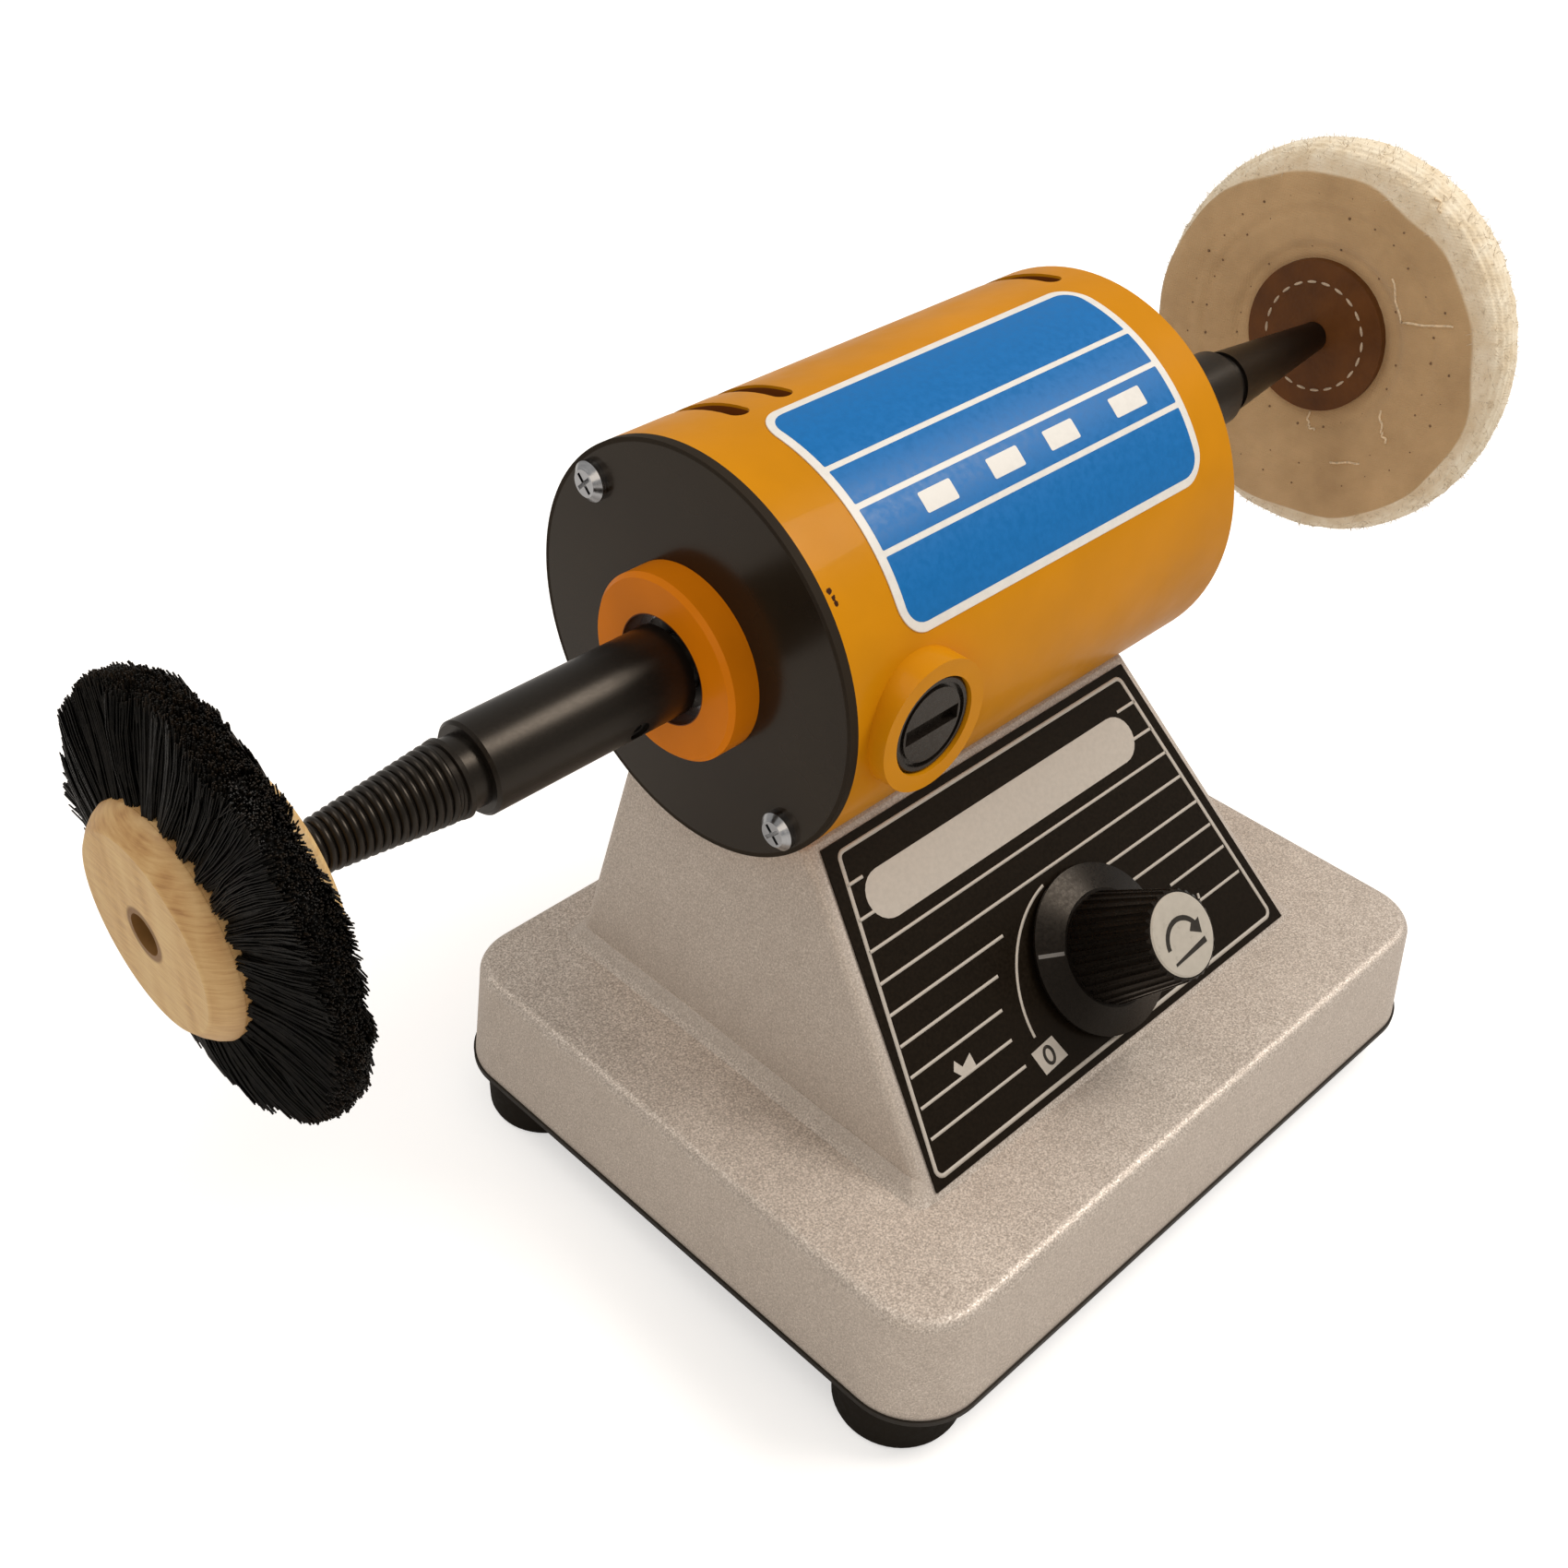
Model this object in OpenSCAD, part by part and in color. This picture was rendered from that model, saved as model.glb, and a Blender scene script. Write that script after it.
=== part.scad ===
// Compact polishing lathe: a drum motor on a cast wedge stand, a tapered pigtail
// spindle at each end, a wheel brush on the left one and a cotton buff on the right.
// Lengths in mm, angles in degrees, Z up, X along the spindle, front towards -Y.
// The floor is z = 0 and the origin lies under the middle of the whole part.

/* [Stand] */
// width of the base block at its top edge, along X
base_w = 176.5; // [147:0.5:212]
// depth of the base block at its top edge, along Y
base_d = 142; // [118:0.5:171]
// height of the cast base block
base_h = 26.4; // [20:0.1:34]
// how far the base block flares outward from its top edge to its foot
base_draft = 2.9; // [1:0.1:4]
// plan radius of the base block's corners at its top edge
base_corner = 13; // [8:0.5:20]
// rounding of the base block's top edge
base_edge = 2.5; // [1:0.1:4]
// thickness of the casting's walls and deck
wall = 4; // [3:0.1:5]
// thickness of the sheet that closes the underside
plate_t = 1.3; // [1:0.1:2]
// height of the rubber feet
foot_h = 11; // [6:0.5:14]
// radius of the rubber feet
foot_r = 13.5; // [9:0.1:14]
// distance of the feet in from the block's left and right top edges
foot_side_in = 10.45; // [10.4:0.05:24]
// distance of the front feet in from the block's front top edge
foot_front_in = 13.6; // [12:0.1:28]
// distance of the rear feet in from the block's rear top edge
foot_back_in = 16.7; // [12:0.1:28]

/* [Pedestal] */
// half width of the pedestal where it meets the base block
ped_foot = 63.4; // [58:0.1:72]
// half width of the pedestal where it meets the motor
ped_top = 50.8; // [44:0.1:54]
// slope of the control panel above the horizontal
panel_slope = 47.2; // [44:0.1:50]
// width of the panel foil along its top edge
foil_top_w = 96.2; // [86:0.1:98]
// width of the panel foil along its bottom edge
foil_foot_w = 120.6; // [110:0.1:124]
// height of the panel foil along the slope
foil_len = 70.5; // [60:0.1:71]
// slope distance of the knob's axis below the foil's top edge
knob_down = 50; // [46:0.1:52]
// distance of the knob's axis to the right of the panel's middle
knob_right = 4.5; // [0:0.1:20]

/* [Motor] */
// height of the spindle axis above the top of the base block
axis_rise = 89.5; // [84:0.1:108]
// distance of the spindle axis behind the middle of the base
axis_back = 27.5; // [20:0.1:30]
// outside radius of the motor drum
drum_r = 42; // [35:0.1:46]
// length of the motor drum, end face to end face
drum_len = 116.4; // [106:0.1:140]
// wall of the motor drum
drum_wall = 2.6; // [2:0.1:4]
// radius of the bearing boss at each end
boss_r = 19; // [16:0.1:21]
// how far the bearing boss stands out of the end face
boss_out = 6.9; // [5:0.1:9]
// distance of the two end screws in from the drum's skin
screw_in = 5.1; // [4.9:0.1:8]

/* [Spindles] */
// radius of the plain body of each pigtail spindle
body_r = 9; // [8:0.1:10]
// distance of the spindle shoulder beyond the drum's end face
shoulder = 51.8; // [44:0.1:56]
// radius where the taper starts
taper_r = 7.6; // [6:0.1:8]
// length of the taper
taper_len = 50; // [41.5:0.1:60]
// how much the radius falls over each millimetre of taper
taper_rate = 0.1; // [0.08:0.005:0.11]

/* [Wheels] */
// outside radius of the wheel brush over the tips
brush_r = 39; // [34:0.1:42]
// radius of the wooden hub
hub_r = 21; // [17.5:0.1:25.5]
// width of the wooden hub
hub_w = 23.9; // [20:0.1:28]
// outside radius of the cotton buff
buff_r = 47.7; // [40:0.1:52]
// thickness of the buff's fluffed rim
buff_w = 16; // [12:0.5:20]
// radius of the leather washers
leather_r = 18.8; // [15:0.1:21]
// how many bristle tufts stand in one row
tufts = 100; // [80:1:110]

/* [Hidden] */
// facets of a full circle
$fn = 96;
// gap between pieces that are fastened to each other
fit_gap = 0.05;
// radial clearance of a turning shaft
run_gap = 0.08;
// height of the sheet's top face, the casting's foot
cast_z = foot_h + plate_t;
// height of the deck, the base block's top face
deck_z = cast_z + base_h;
// height of the spindle axis
axis_z = deck_z + axis_rise;
// half the drum's length
half = drum_len / 2;
// half sizes of the base block at its top edge
base_hx = base_w / 2;
base_hy = base_d / 2;
// where the feet stand
foot_x = base_hx - foot_side_in;
foot_front = base_hy - foot_front_in;
foot_back = base_hy - foot_back_in;
// how far the closing sheet peeps out under the casting
plate_lip = 0.5;
// foil thickness and where its outer top edge lies: its gap to the drum and its angle
// about the spindle axis, from straight down towards the front
foil_t = 0.6;
foil_gap = 3.52;
foil_at = 37.32;
foil_y = axis_back - (drum_r + foil_gap) * sin(foil_at);
foil_z = axis_z - (drum_r + foil_gap) * cos(foil_at);
// rounding of the pedestal's edges
ped_edge = 3;
// direction of the panel's slope and of its outward normal
slope_y = cos(panel_slope);
slope_z = sin(panel_slope);
// where the panel face of the casting runs out on the deck
face_y = foil_y + foil_t * slope_z;
face_z = foil_z - foil_t * slope_y;
// how high the pedestal's top stands above the foil's top edge
ped_over = 1.6;
ped_top_z = face_z + ped_over;
// the pedestal's back at the deck and at its top
ped_back_y = base_hy - 12.4;
ped_back_top_y = base_hy - 18.5;
// radius of the saddle's underside about the spindle axis
saddle_r = drum_r + wall;
// underside bosses for the foot screws
boss_under_r = 5;
foot_screw_r = 2;
// the bearing: outside, bore, width and ring radii
brg_r = 11;
brg_bore = 4;
brg_w = 7;
brg_in_r = 6.1;
brg_out_r = 9.2;
ball_r = 1.95;
ball_pcr = (brg_in_r + brg_out_r) / 2;
balls = 7;
// distance of the bearing's outer face from the drum's end face
brg_face = 2.9;
// end disc
disc_t = 1.95;
// inside radius and length of the drum
drum_in = drum_r - drum_wall;
bracket_t = 6;
end_screw_r = 1.9;
screw_pcr = drum_r - screw_in;
// magnets, armature and commutator; the armature fills the room between the
// commutator and the fan
magnet_in = 30;
arm_r = 29;
slots = 12;
slot_r = 3.1;
slot_at = 24;
comm_r = 12;
comm_len = 15;
comm_x = -half + 21.2;
fan_x = half - 21;
arm_x0 = comm_x + comm_len / 2 + 12.5;
arm_len = fan_x - 8.2 - arm_x0;
arm_x = arm_x0 + arm_len / 2;
shaft_r = 4;
shaft_mid_r = 5;
// brush gear: the brushes lie on the horizontal through the axis
gear_x = -half + 18;
cap_r = 10;
cap_out = 3.4;
cap_seat = drum_r - 1;
pad_r = 13.4;
carbon_w = 6;
carbon_len = 12;
holder_r = 5.6;
// vents over the top of the drum, behind the crown
vent_w = 4.3;
vent_from = 9.1;
vent_to = 50;
vent_xs = [-half + 17.8, -half + 28.8, half - 9.3];
// spindle details
neck_len = 3.7;
// distance of the tapers' tips from the drum's middle
taper_tip = half + shoulder + neck_len + taper_len;
grub_x = 19.5;
grub_r = 2.1;
grub_turn = 22;
// wheel brush
hub_face = taper_tip + 8.2;
hub_back = hub_face - hub_w;
hub_rim = 1.2;
band_front = hub_face - 4.4;
band_back = hub_back + 3.4;
band_skin = 1.5;
hub_bore_r = 3.7;
rows = 4;
rim_half = 3.8;
rim_mid = band_front - 7.5;
// buff
buff_x = taper_tip - 5.2;
buff_mid = 3.1;
leather_t = 2;
// knob
skirt_r = 18.8;
knob_h = 25.5;
knob_gap = 0.9;
grip_foot_r = 12.3;
grip_top_r = 9.6;
flutes = 28;
flute_r = 0.9;
knob_cap_r = 8.8;
pot_shaft_r = 3;
shaft_out = 11;
bush_r = 3.6;
nut_h = 2;
pot_r = 12;
pot_t = 9;
// label skin on the drum
label_t = 0.2;
label_x0 = -half + 15.9;
label_x1 = half - 11.2;
label_from = -2;
label_to = 68.5;
label_corner = 6;
// cord entry at the back of the base block
entry_x = 45;
entry_z = cast_z + 12;
entry_r = 6;
entry_bore = 3.6;
// board in the base block
board_w = 70;
board_d = 44;
board_t = 1.6;
board_x = -30;
board_y = 15;
board_inset = 4;
spacer_h = 6;
board_z = cast_z + spacer_h;
board_screw_r = 1.5;
// screws that hold the drum on the saddle
hold_x = 30;
hold_r = 2.5;
// wiring hole between drum and stand
wire_x = 0;
wire_r = 4;
// how far the cord grommet stands out behind the base block
entry_out = 3.5;
entry_wall = base_hy + base_draft * (deck_z - entry_z) / base_h;
// where the stand's middle lies, so that the whole part is centred on the origin
mid_x = (hub_face - buff_x - buff_w / 2) / 2;
mid_y = (base_hy + base_draft + plate_lip
  - max(entry_wall + entry_out, axis_back + buff_r)) / 2;

// which node to draw: "all" or one of the names above

// ---------- helpers ----------

// moves a child from the stand's own middle to its place about the origin
module at_stand() {
  translate([mid_x, mid_y, 0]) children();
}

// moves a child onto the spindle axis, its own Z turned along +X
module on_axis(x = 0) {
  translate([x, axis_back, axis_z]) rotate([0, 90, 0]) children();
}

// a straight cylinder along the spindle axis
module axle(x0, x1, r) {
  on_axis(x0) cylinder(h = x1 - x0, r = r);
}

// a cone along the spindle axis
module axle_cone(x0, x1, ra, rb) {
  on_axis(x0) cylinder(h = x1 - x0, r1 = ra, r2 = rb);
}

// a ring along the spindle axis
module axle_ring(x0, x1, r, bore) {
  difference() {
    axle(x0, x1, r);
    axle(x0 - 1, x1 + 1, bore);
  }
}

// moves a child onto the panel: x across, y up the slope from the foil's top edge,
// z outward from the foil's face
module on_panel(x = 0, y = 0, z = 0) {
  translate([0, foil_y, foil_z]) rotate([panel_slope, 0, 0]) translate([x, y, z]) children();
}

// moves a child to the knob's axis, z = 0 on the foil's face
module on_knob(z = 0) {
  on_panel(knob_right, -knob_down, z) children();
}

// the four foot positions
module at_feet() {
  for (sx = [-1, 1]) for (fy = [-foot_front, foot_back])
    translate([sx * foot_x, fy, 0]) children();
}

// a child and its mirror image on the other end of the spindle
module both_ends() {
  children();
  mirror([1, 0, 0]) children();
}

// the two brush positions, local z pointing out of the drum
module at_gear() {
  for (s = [-1, 1])
    translate([gear_x, axis_back, axis_z]) rotate([s * 90, 0, 0]) children();
}

// ---------- stand ----------

// section of the base block's side; x = 0 is the centre of the corner's plan radius
module side_section() {
  top_r = base_corner;
  low_r = base_corner + base_draft;
  difference() {
    union() {
      polygon([[0, cast_z], [low_r, cast_z], [top_r + base_draft * base_edge / base_h,
        deck_z - base_edge], [0, deck_z - base_edge]]);
      translate([0, deck_z - base_edge - 1]) square([top_r - base_edge, base_edge + 1]);
      translate([top_r - base_edge + base_draft * base_edge / base_h, deck_z - base_edge])
        circle(base_edge);
      translate([0, deck_z - base_edge])
        square([top_r - base_edge + base_draft * base_edge / base_h, base_edge]);
    }
    polygon([[-1, cast_z - 1], [low_r - wall, cast_z - 1], [top_r - wall, deck_z - wall],
      [-1, deck_z - wall]]);
  }
}

// the hollow base block: four revolved corners, four straight sides and the deck
module base_block() {
  cx = base_hx - base_corner;
  cy = base_hy - base_corner;
  for (i = [0:3]) {
    sx = (i == 0 || i == 3) ? 1 : -1;
    sy = i < 2 ? 1 : -1;
    translate([sx * cx, sy * cy, 0]) rotate([0, 0, i * 90]) rotate_extrude(angle = 90)
      side_section();
  }
  for (s = [-1, 1]) {
    translate([0, s * cy, 0]) rotate([90, 0, s * 90]) linear_extrude(2 * cx, center = true)
      side_section();
    translate([s * cx, 0, 0]) rotate([90, 0, s > 0 ? 0 : 180])
      linear_extrude(2 * cy, center = true) side_section();
  }
  translate([-cx, -cy, deck_z - wall]) cube([2 * cx, 2 * cy, wall]);
}

// where the pedestal's faces stand at height z: front, back and half width
function front_at(z) = face_y - (face_z - z) * slope_y / slope_z;
function back_at(z) = ped_back_y + (ped_back_top_y - ped_back_y) * (z - deck_z)
  / (ped_top_z - deck_z);
function half_at(z) = ped_foot + (ped_top - ped_foot) * (z - deck_z) / (ped_top_z - deck_z);

// the pedestal's wedge with its faces moved inward by inset, from height z0 up; its
// edges are rounded with balls of radius ped_edge
module wedge(inset, z0) {
  off = inset + ped_edge;
  lean = atan((ped_foot - ped_top) / (ped_top_z - deck_z));
  back_lean = atan((ped_back_y - ped_back_top_y) / (ped_top_z - deck_z));
  hull() for (z = [z0, ped_top_z - off]) for (sx = [-1, 1])
    for (y = [front_at(z) + off / slope_z, back_at(z) - off / cos(back_lean)])
      translate([sx * (half_at(z) - off / cos(lean)), y, z]) sphere(ped_edge, $fn = 24);
}

// one step of the fillet at the pedestal's foot, standing g0 out at z0 and g1 out at z1
module foot_step(g0, z0, g1, z1) {
  hull() for (q = [[g0, z0], [g1, z1]]) for (sx = [-1, 1])
    for (y = [front_at(q[1]) + ped_edge + 0.3, back_at(q[1]) + q[0] - ped_edge])
      translate([sx * (half_at(q[1]) + q[0] - ped_edge), y, q[1]])
        cylinder(h = 0.1, r = ped_edge, $fn = 24);
}

// the four corners of the board, where its spacers and screws are
module at_board() {
  for (sx = [-1, 1]) for (sy = [-1, 1])
    translate([board_x + sx * (board_w / 2 - board_inset),
      board_y + sy * (board_d / 2 - board_inset), 0]) children();
}

module base_casting() color("Silver") at_stand() difference() {
  union() {
    base_block();
    intersection() {
      wedge(0, deck_z - 2);
      translate([-base_hx, -base_hy, deck_z - 1]) cube([base_w, base_d, axis_rise]);
    }
    foot_step(3.4, deck_z - 1, 1.6, deck_z + 1);
    foot_step(1.6, deck_z + 1, 0.2, deck_z + 3.4);
    at_feet() translate([0, 0, cast_z]) cylinder(h = base_h - 1, r = boss_under_r);
  }
  // the hollow inside the pedestal, left thick under the saddle
  difference() {
    wedge(wall, deck_z - 12);
    axle(-base_hx, base_hx, saddle_r);
  }
  // the saddle
  axle(-base_hx, base_hx, drum_r + fit_gap);
  // foot screws
  at_feet() translate([0, 0, cast_z - 1]) cylinder(h = 17, r = foot_screw_r + fit_gap);
  // control shaft
  on_knob(-wall - 6) cylinder(h = 20, r = bush_r + 0.1);
  // drum screws and wiring hole through the saddle
  for (x = [-hold_x, hold_x]) translate([x, axis_back, deck_z])
    cylinder(h = axis_rise, r = hold_r + fit_gap);
  translate([wire_x, axis_back, deck_z]) cylinder(h = axis_rise, r = wire_r);
  // cord entry
  translate([entry_x, 0, entry_z]) rotate([-90, 0, 0])
    cylinder(h = base_d, r = entry_r + fit_gap);
}

module bottom_plate() color("DimGray") at_stand() difference() {
  cx = base_hx - base_corner;
  cy = base_hy - base_corner;
  r = base_corner + base_draft + plate_lip;
  translate([0, 0, foot_h]) linear_extrude(plate_t) union() {
    for (sx = [-1, 1]) for (sy = [-1, 1]) translate([sx * cx, sy * cy]) circle(r);
    square([2 * cx, 2 * (cy + r)], center = true);
    square([2 * (cx + r), 2 * cy], center = true);
  }
  at_feet() translate([0, 0, foot_h - 1]) cylinder(h = plate_t + 2, r = foot_screw_r + fit_gap);
  at_board() translate([0, 0, foot_h - 1]) cylinder(h = plate_t + 2, r = board_screw_r + fit_gap);
}

module feet() color("Black") at_stand() at_feet() difference() {
  rotate_extrude()
    polygon([[0, 0], [foot_r - 1.2, 0], [foot_r - 0.3, 0.4], [foot_r, 1.2],
      [foot_r, foot_h - 1], [foot_r - 1, foot_h], [0, foot_h]]);
  translate([0, 0, -1]) cylinder(h = 5, r = 4.6);
  cylinder(h = foot_h + 1, r = foot_screw_r + fit_gap);
}

module foot_screws() color("Gray") at_stand() at_feet() {
  translate([0, 0, 1.2]) cylinder(h = 2.8, r = 4);
  translate([0, 0, 3.9]) cylinder(h = foot_h + 9, r = foot_screw_r);
}

module cord_grommet() color("Black") at_stand() translate([entry_x, 0, entry_z])
  rotate([-90, 0, 0]) difference() {
    union() {
      translate([0, 0, entry_wall - 7]) cylinder(h = 10, r = entry_r);
      translate([0, 0, entry_wall + 1]) cylinder(h = entry_out - 1, r = entry_r + 2);
    }
    cylinder(h = base_d, r = entry_bore);
  }

module board_spacers() color("Goldenrod") at_stand() at_board() difference() {
  translate([0, 0, cast_z]) cylinder(h = spacer_h, r = 3);
  translate([0, 0, foot_h]) cylinder(h = spacer_h + 5, r = board_screw_r + fit_gap);
}

module control_board() color("DarkGreen") at_stand() difference() {
  translate([board_x - board_w / 2, board_y - board_d / 2, board_z])
    cube([board_w, board_d, board_t]);
  at_board() translate([0, 0, board_z - 1]) cylinder(h = board_t + 2, r = board_screw_r + fit_gap);
}

// parts that stand on the board: capacitor, switching device with heat sink, terminals
module board_parts() color("SlateGray") at_stand()
  translate([board_x, board_y, board_z + board_t]) {
    translate([-16, 4, 0]) cylinder(h = 14, r = 6);
    translate([2, -14, 0]) cube([4, 10, 12]);
    translate([6, -14, 0]) cube([1.5, 28, 18]);
    translate([18, -10, 0]) cube([9, 20, 9]);
  }

// screws up through the sheet, the spacers and the board
module board_screws() color("Gray") at_stand() at_board() {
  translate([0, 0, foot_h - 1.6]) cylinder(h = 1.6, r = 2.8);
  translate([0, 0, foot_h - 0.1]) cylinder(h = plate_t + spacer_h + board_t + 2, r = board_screw_r);
}

// ---------- control ----------

module panel_foil() color("Black") at_stand() on_panel(0, 0, -foil_t) difference() {
  linear_extrude(foil_t) polygon([[-foil_top_w / 2, 0], [foil_top_w / 2, 0],
    [foil_foot_w / 2, -foil_len], [-foil_foot_w / 2, -foil_len]]);
  translate([knob_right, -knob_down, -1]) cylinder(h = 3, r = bush_r + 0.1);
}

// potentiometer body with its threaded bush, from inside the pedestal
module pot_body() color("SteelBlue") at_stand() on_knob() difference() {
  union() {
    translate([0, 0, -foil_t - wall - pot_t]) cylinder(h = pot_t - fit_gap, r = pot_r);
    translate([0, 0, -foil_t - wall - 0.1]) cylinder(h = foil_t + wall + 2.6, r = bush_r);
    translate([0, 8, -foil_t - wall - 6]) cube([10, 8, 2]);
  }
  translate([0, 0, -foil_t - wall - pot_t + 2]) cylinder(h = 20, r = pot_shaft_r + run_gap);
}

module pot_nut() color("Gainsboro") at_stand() on_knob() difference() {
  cylinder(h = nut_h, r = 6.2, $fn = 6);
  translate([0, 0, -1]) cylinder(h = nut_h + 2, r = bush_r + fit_gap);
}

module pot_shaft() color("Gainsboro") at_stand() on_knob(-foil_t - wall - pot_t + 2.2)
  cylinder(h = foil_t + wall + pot_t - 2.2 + shaft_out, r = pot_shaft_r);

// knob: a thin conical skirt below a fluted grip, hollow over the nut
module knob() color("Black") at_stand() on_knob() difference() {
  union() {
    rotate_extrude() polygon([[0, knob_gap], [skirt_r - 0.4, knob_gap], [skirt_r, knob_gap + 0.4],
      [skirt_r, knob_gap + 1], [grip_foot_r + 0.6, 4.6], [0, 4.6]]);
    difference() {
      rotate_extrude() polygon([[0, 4], [grip_foot_r, 4], [grip_foot_r, 5],
        [grip_top_r + 0.1, knob_h - 0.5], [grip_top_r - 0.5, knob_h], [0, knob_h]]);
      // the flutes of the grip follow its taper
      for (i = [0:flutes - 1]) rotate([0, 0, i * 360 / flutes])
        translate([grip_foot_r + 0.35, 0, 5.2])
          rotate([0, -atan((grip_foot_r - grip_top_r) / (knob_h - 5)), 0])
            cylinder(h = knob_h, r = flute_r, $fn = 16);
    }
  }
  translate([0, 0, -1]) cylinder(h = 4.6 + 1, r = 7.4);
  translate([0, 0, -1]) cylinder(h = shaft_out + 1.4, r = pot_shaft_r + fit_gap);
  // seat of the cap
  translate([0, 0, knob_h - 0.8]) cylinder(h = 2, r = knob_cap_r + fit_gap);
}

module knob_cap() color("White") at_stand() on_knob(knob_h - 0.8) {
  cylinder(h = 0.9, r = knob_cap_r);
  translate([0, 0, 0.8]) cylinder(h = 0.3, r1 = knob_cap_r, r2 = knob_cap_r - 0.4);
}

// ---------- motor ----------

// the drum: a can with a closed right end that carries its own bearing boss
module motor_drum() color("Orange") at_stand() difference() {
  union() {
    axle_ring(-half + disc_t, half - 3, drum_r, drum_in);
    axle_cone(half - 1.2, half, drum_r, drum_r - 0.8);
    axle(half - 5, half - 1.2, drum_r);
    axle(half - 9, half + boss_out - 1, boss_r);
    axle_cone(half + boss_out - 1, half + boss_out, boss_r, boss_r - 0.9);
    // pads around the brush caps
    intersection() {
      at_gear() cylinder(h = drum_r + cap_out + 0.4, r = pad_r);
      difference() {
        translate([gear_x - 20, axis_back - 60, axis_z - 20]) cube([40, 120, 40]);
        axle(-half, half, drum_r - 1);
      }
    }
    // threaded pads for the screws through the saddle
    intersection() {
      for (sx = [-1, 1]) translate([sx * hold_x, axis_back, axis_z - drum_r])
        cylinder(h = 6, r = 6);
      axle(-half, half, drum_r);
    }
  }
  // bearing seat and the shaft's opening
  axle(half - brg_w - brg_face + 5.8, half + boss_out + 1, brg_r + fit_gap);
  axle(half - 20, half + 1, 6.8);
  // brush caps and holders
  at_gear() translate([0, 0, cap_seat]) cylinder(h = 20, r = cap_r + fit_gap);
  at_gear() translate([0, 0, drum_in - 8]) cylinder(h = 20, r = holder_r + fit_gap);
  // vents: arcs behind the crown, with rounded ends
  for (vx = vent_xs) on_axis(vx - vent_w / 2) {
    rotate([0, 0, 180 - vent_to]) rotate_extrude(angle = vent_to - vent_from)
      translate([drum_in - 2, 0]) square([drum_wall + 6, vent_w]);
    for (a = [vent_from, vent_to]) rotate([0, 0, 180 - a]) translate([drum_in - 2, 0, vent_w / 2])
      rotate([0, 90, 0]) cylinder(h = drum_wall + 6, r = vent_w / 2);
  }
  // screws from the stand, and the wiring hole
  for (x = [-hold_x, hold_x]) translate([x, axis_back, axis_z - drum_r - 1])
    cylinder(h = 8, r = hold_r + fit_gap);
  translate([wire_x, axis_back, axis_z - drum_r - 1]) cylinder(h = 8, r = wire_r);
}

// left end bracket with its bearing boss
module end_bracket() color("Orange") at_stand() difference() {
  union() {
    axle(-half + disc_t, -half + disc_t + bracket_t, drum_in - fit_gap);
    axle(-half - boss_out + 1, -half + disc_t + 7, boss_r);
    axle_cone(-half - boss_out, -half - boss_out + 1, boss_r - 0.9, boss_r);
  }
  axle(-half - boss_out - 1, -half - brg_face + brg_w, brg_r + fit_gap);
  axle(-half - 1, -half + 20, 6.8);
  for (a = [45, 225]) on_axis(-half) rotate([0, 0, a]) translate([0, screw_pcr, -1])
    cylinder(h = 20, r = end_screw_r + fit_gap);
}

module end_disc() color([0.2, 0.16, 0.14]) at_stand() difference() {
  axle(-half, -half + disc_t, drum_r);
  axle(-half - 1, -half + disc_t + 1, boss_r + fit_gap);
  for (a = [45, 225]) on_axis(-half) rotate([0, 0, a]) translate([0, screw_pcr, -1])
    cylinder(h = 4, r = end_screw_r + fit_gap);
}

// two pan head screws through the disc, with cross recesses
module end_screws() color("Silver") at_stand() for (a = [45, 225])
  on_axis(-half) rotate([0, 0, a]) translate([0, screw_pcr, 0]) difference() {
    union() {
      translate([0, 0, -1.3]) cylinder(h = 1.3, r = 4);
      translate([0, 0, -2.5]) cylinder(h = 1.2, r1 = 2.7, r2 = 4);
      translate([0, 0, -0.1]) cylinder(h = 8, r = end_screw_r);
    }
    translate([-2.2, -0.4, -3]) cube([4.4, 0.8, 1.9]);
    translate([-0.4, -2.2, -3]) cube([0.8, 4.4, 1.9]);
  }

// the two screws that hold the drum down on the saddle
module hold_screws() color("Gray") at_stand() for (sx = [-1, 1])
  translate([sx * hold_x, axis_back, axis_z - saddle_r]) {
    translate([0, 0, -3.4]) cylinder(h = 3, r = 4.2);
    translate([0, 0, -0.5]) cylinder(h = 9.5, r = hold_r);
  }

// the printed label, a thin skin with rounded corners bent round the drum's front
module drum_label() color("RoyalBlue") at_stand() on_axis(label_x0)
  rotate([0, 0, 180 + (label_from + label_to) / 2]) intersection() {
    difference() {
      cylinder(h = label_x1 - label_x0, r = drum_r + 0.02 + label_t);
      translate([0, 0, -1]) cylinder(h = label_x1 - label_x0 + 2, r = drum_r + 0.02);
    }
    rotate([90, 0, 90]) linear_extrude(drum_r + 1) label_outline();
  }

// the label's outline as seen square on
module label_outline() {
  hy = drum_r * sin((label_to - label_from) / 2);
  len = label_x1 - label_x0;
  q = label_corner;
  translate([-hy, q]) square([2 * hy, len - 2 * q]);
  translate([q - hy, 0]) square([2 * hy - 2 * q, len]);
  for (y = [q - hy, hy - q]) for (x = [q, len - q]) translate([y, x]) circle(q);
}

// two arc magnets glued inside the drum
module magnets() color("DimGray") at_stand() for (a = [0, 180])
  on_axis(arm_x - arm_len / 2 - 2) rotate([0, 0, a + 30]) rotate_extrude(angle = 120)
    translate([magnet_in, 0]) square([drum_in - magnet_in - fit_gap, arm_len + 4]);

module bearing_outer_rings() color("Silver") at_stand() both_ends()
  difference() {
    axle_ring(-half - brg_face, -half - brg_face + brg_w, brg_r, brg_out_r);
    on_axis(-half - brg_face + brg_w / 2) rotate_extrude() translate([ball_pcr, 0])
      circle(ball_r, $fn = 32);
  }

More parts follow.
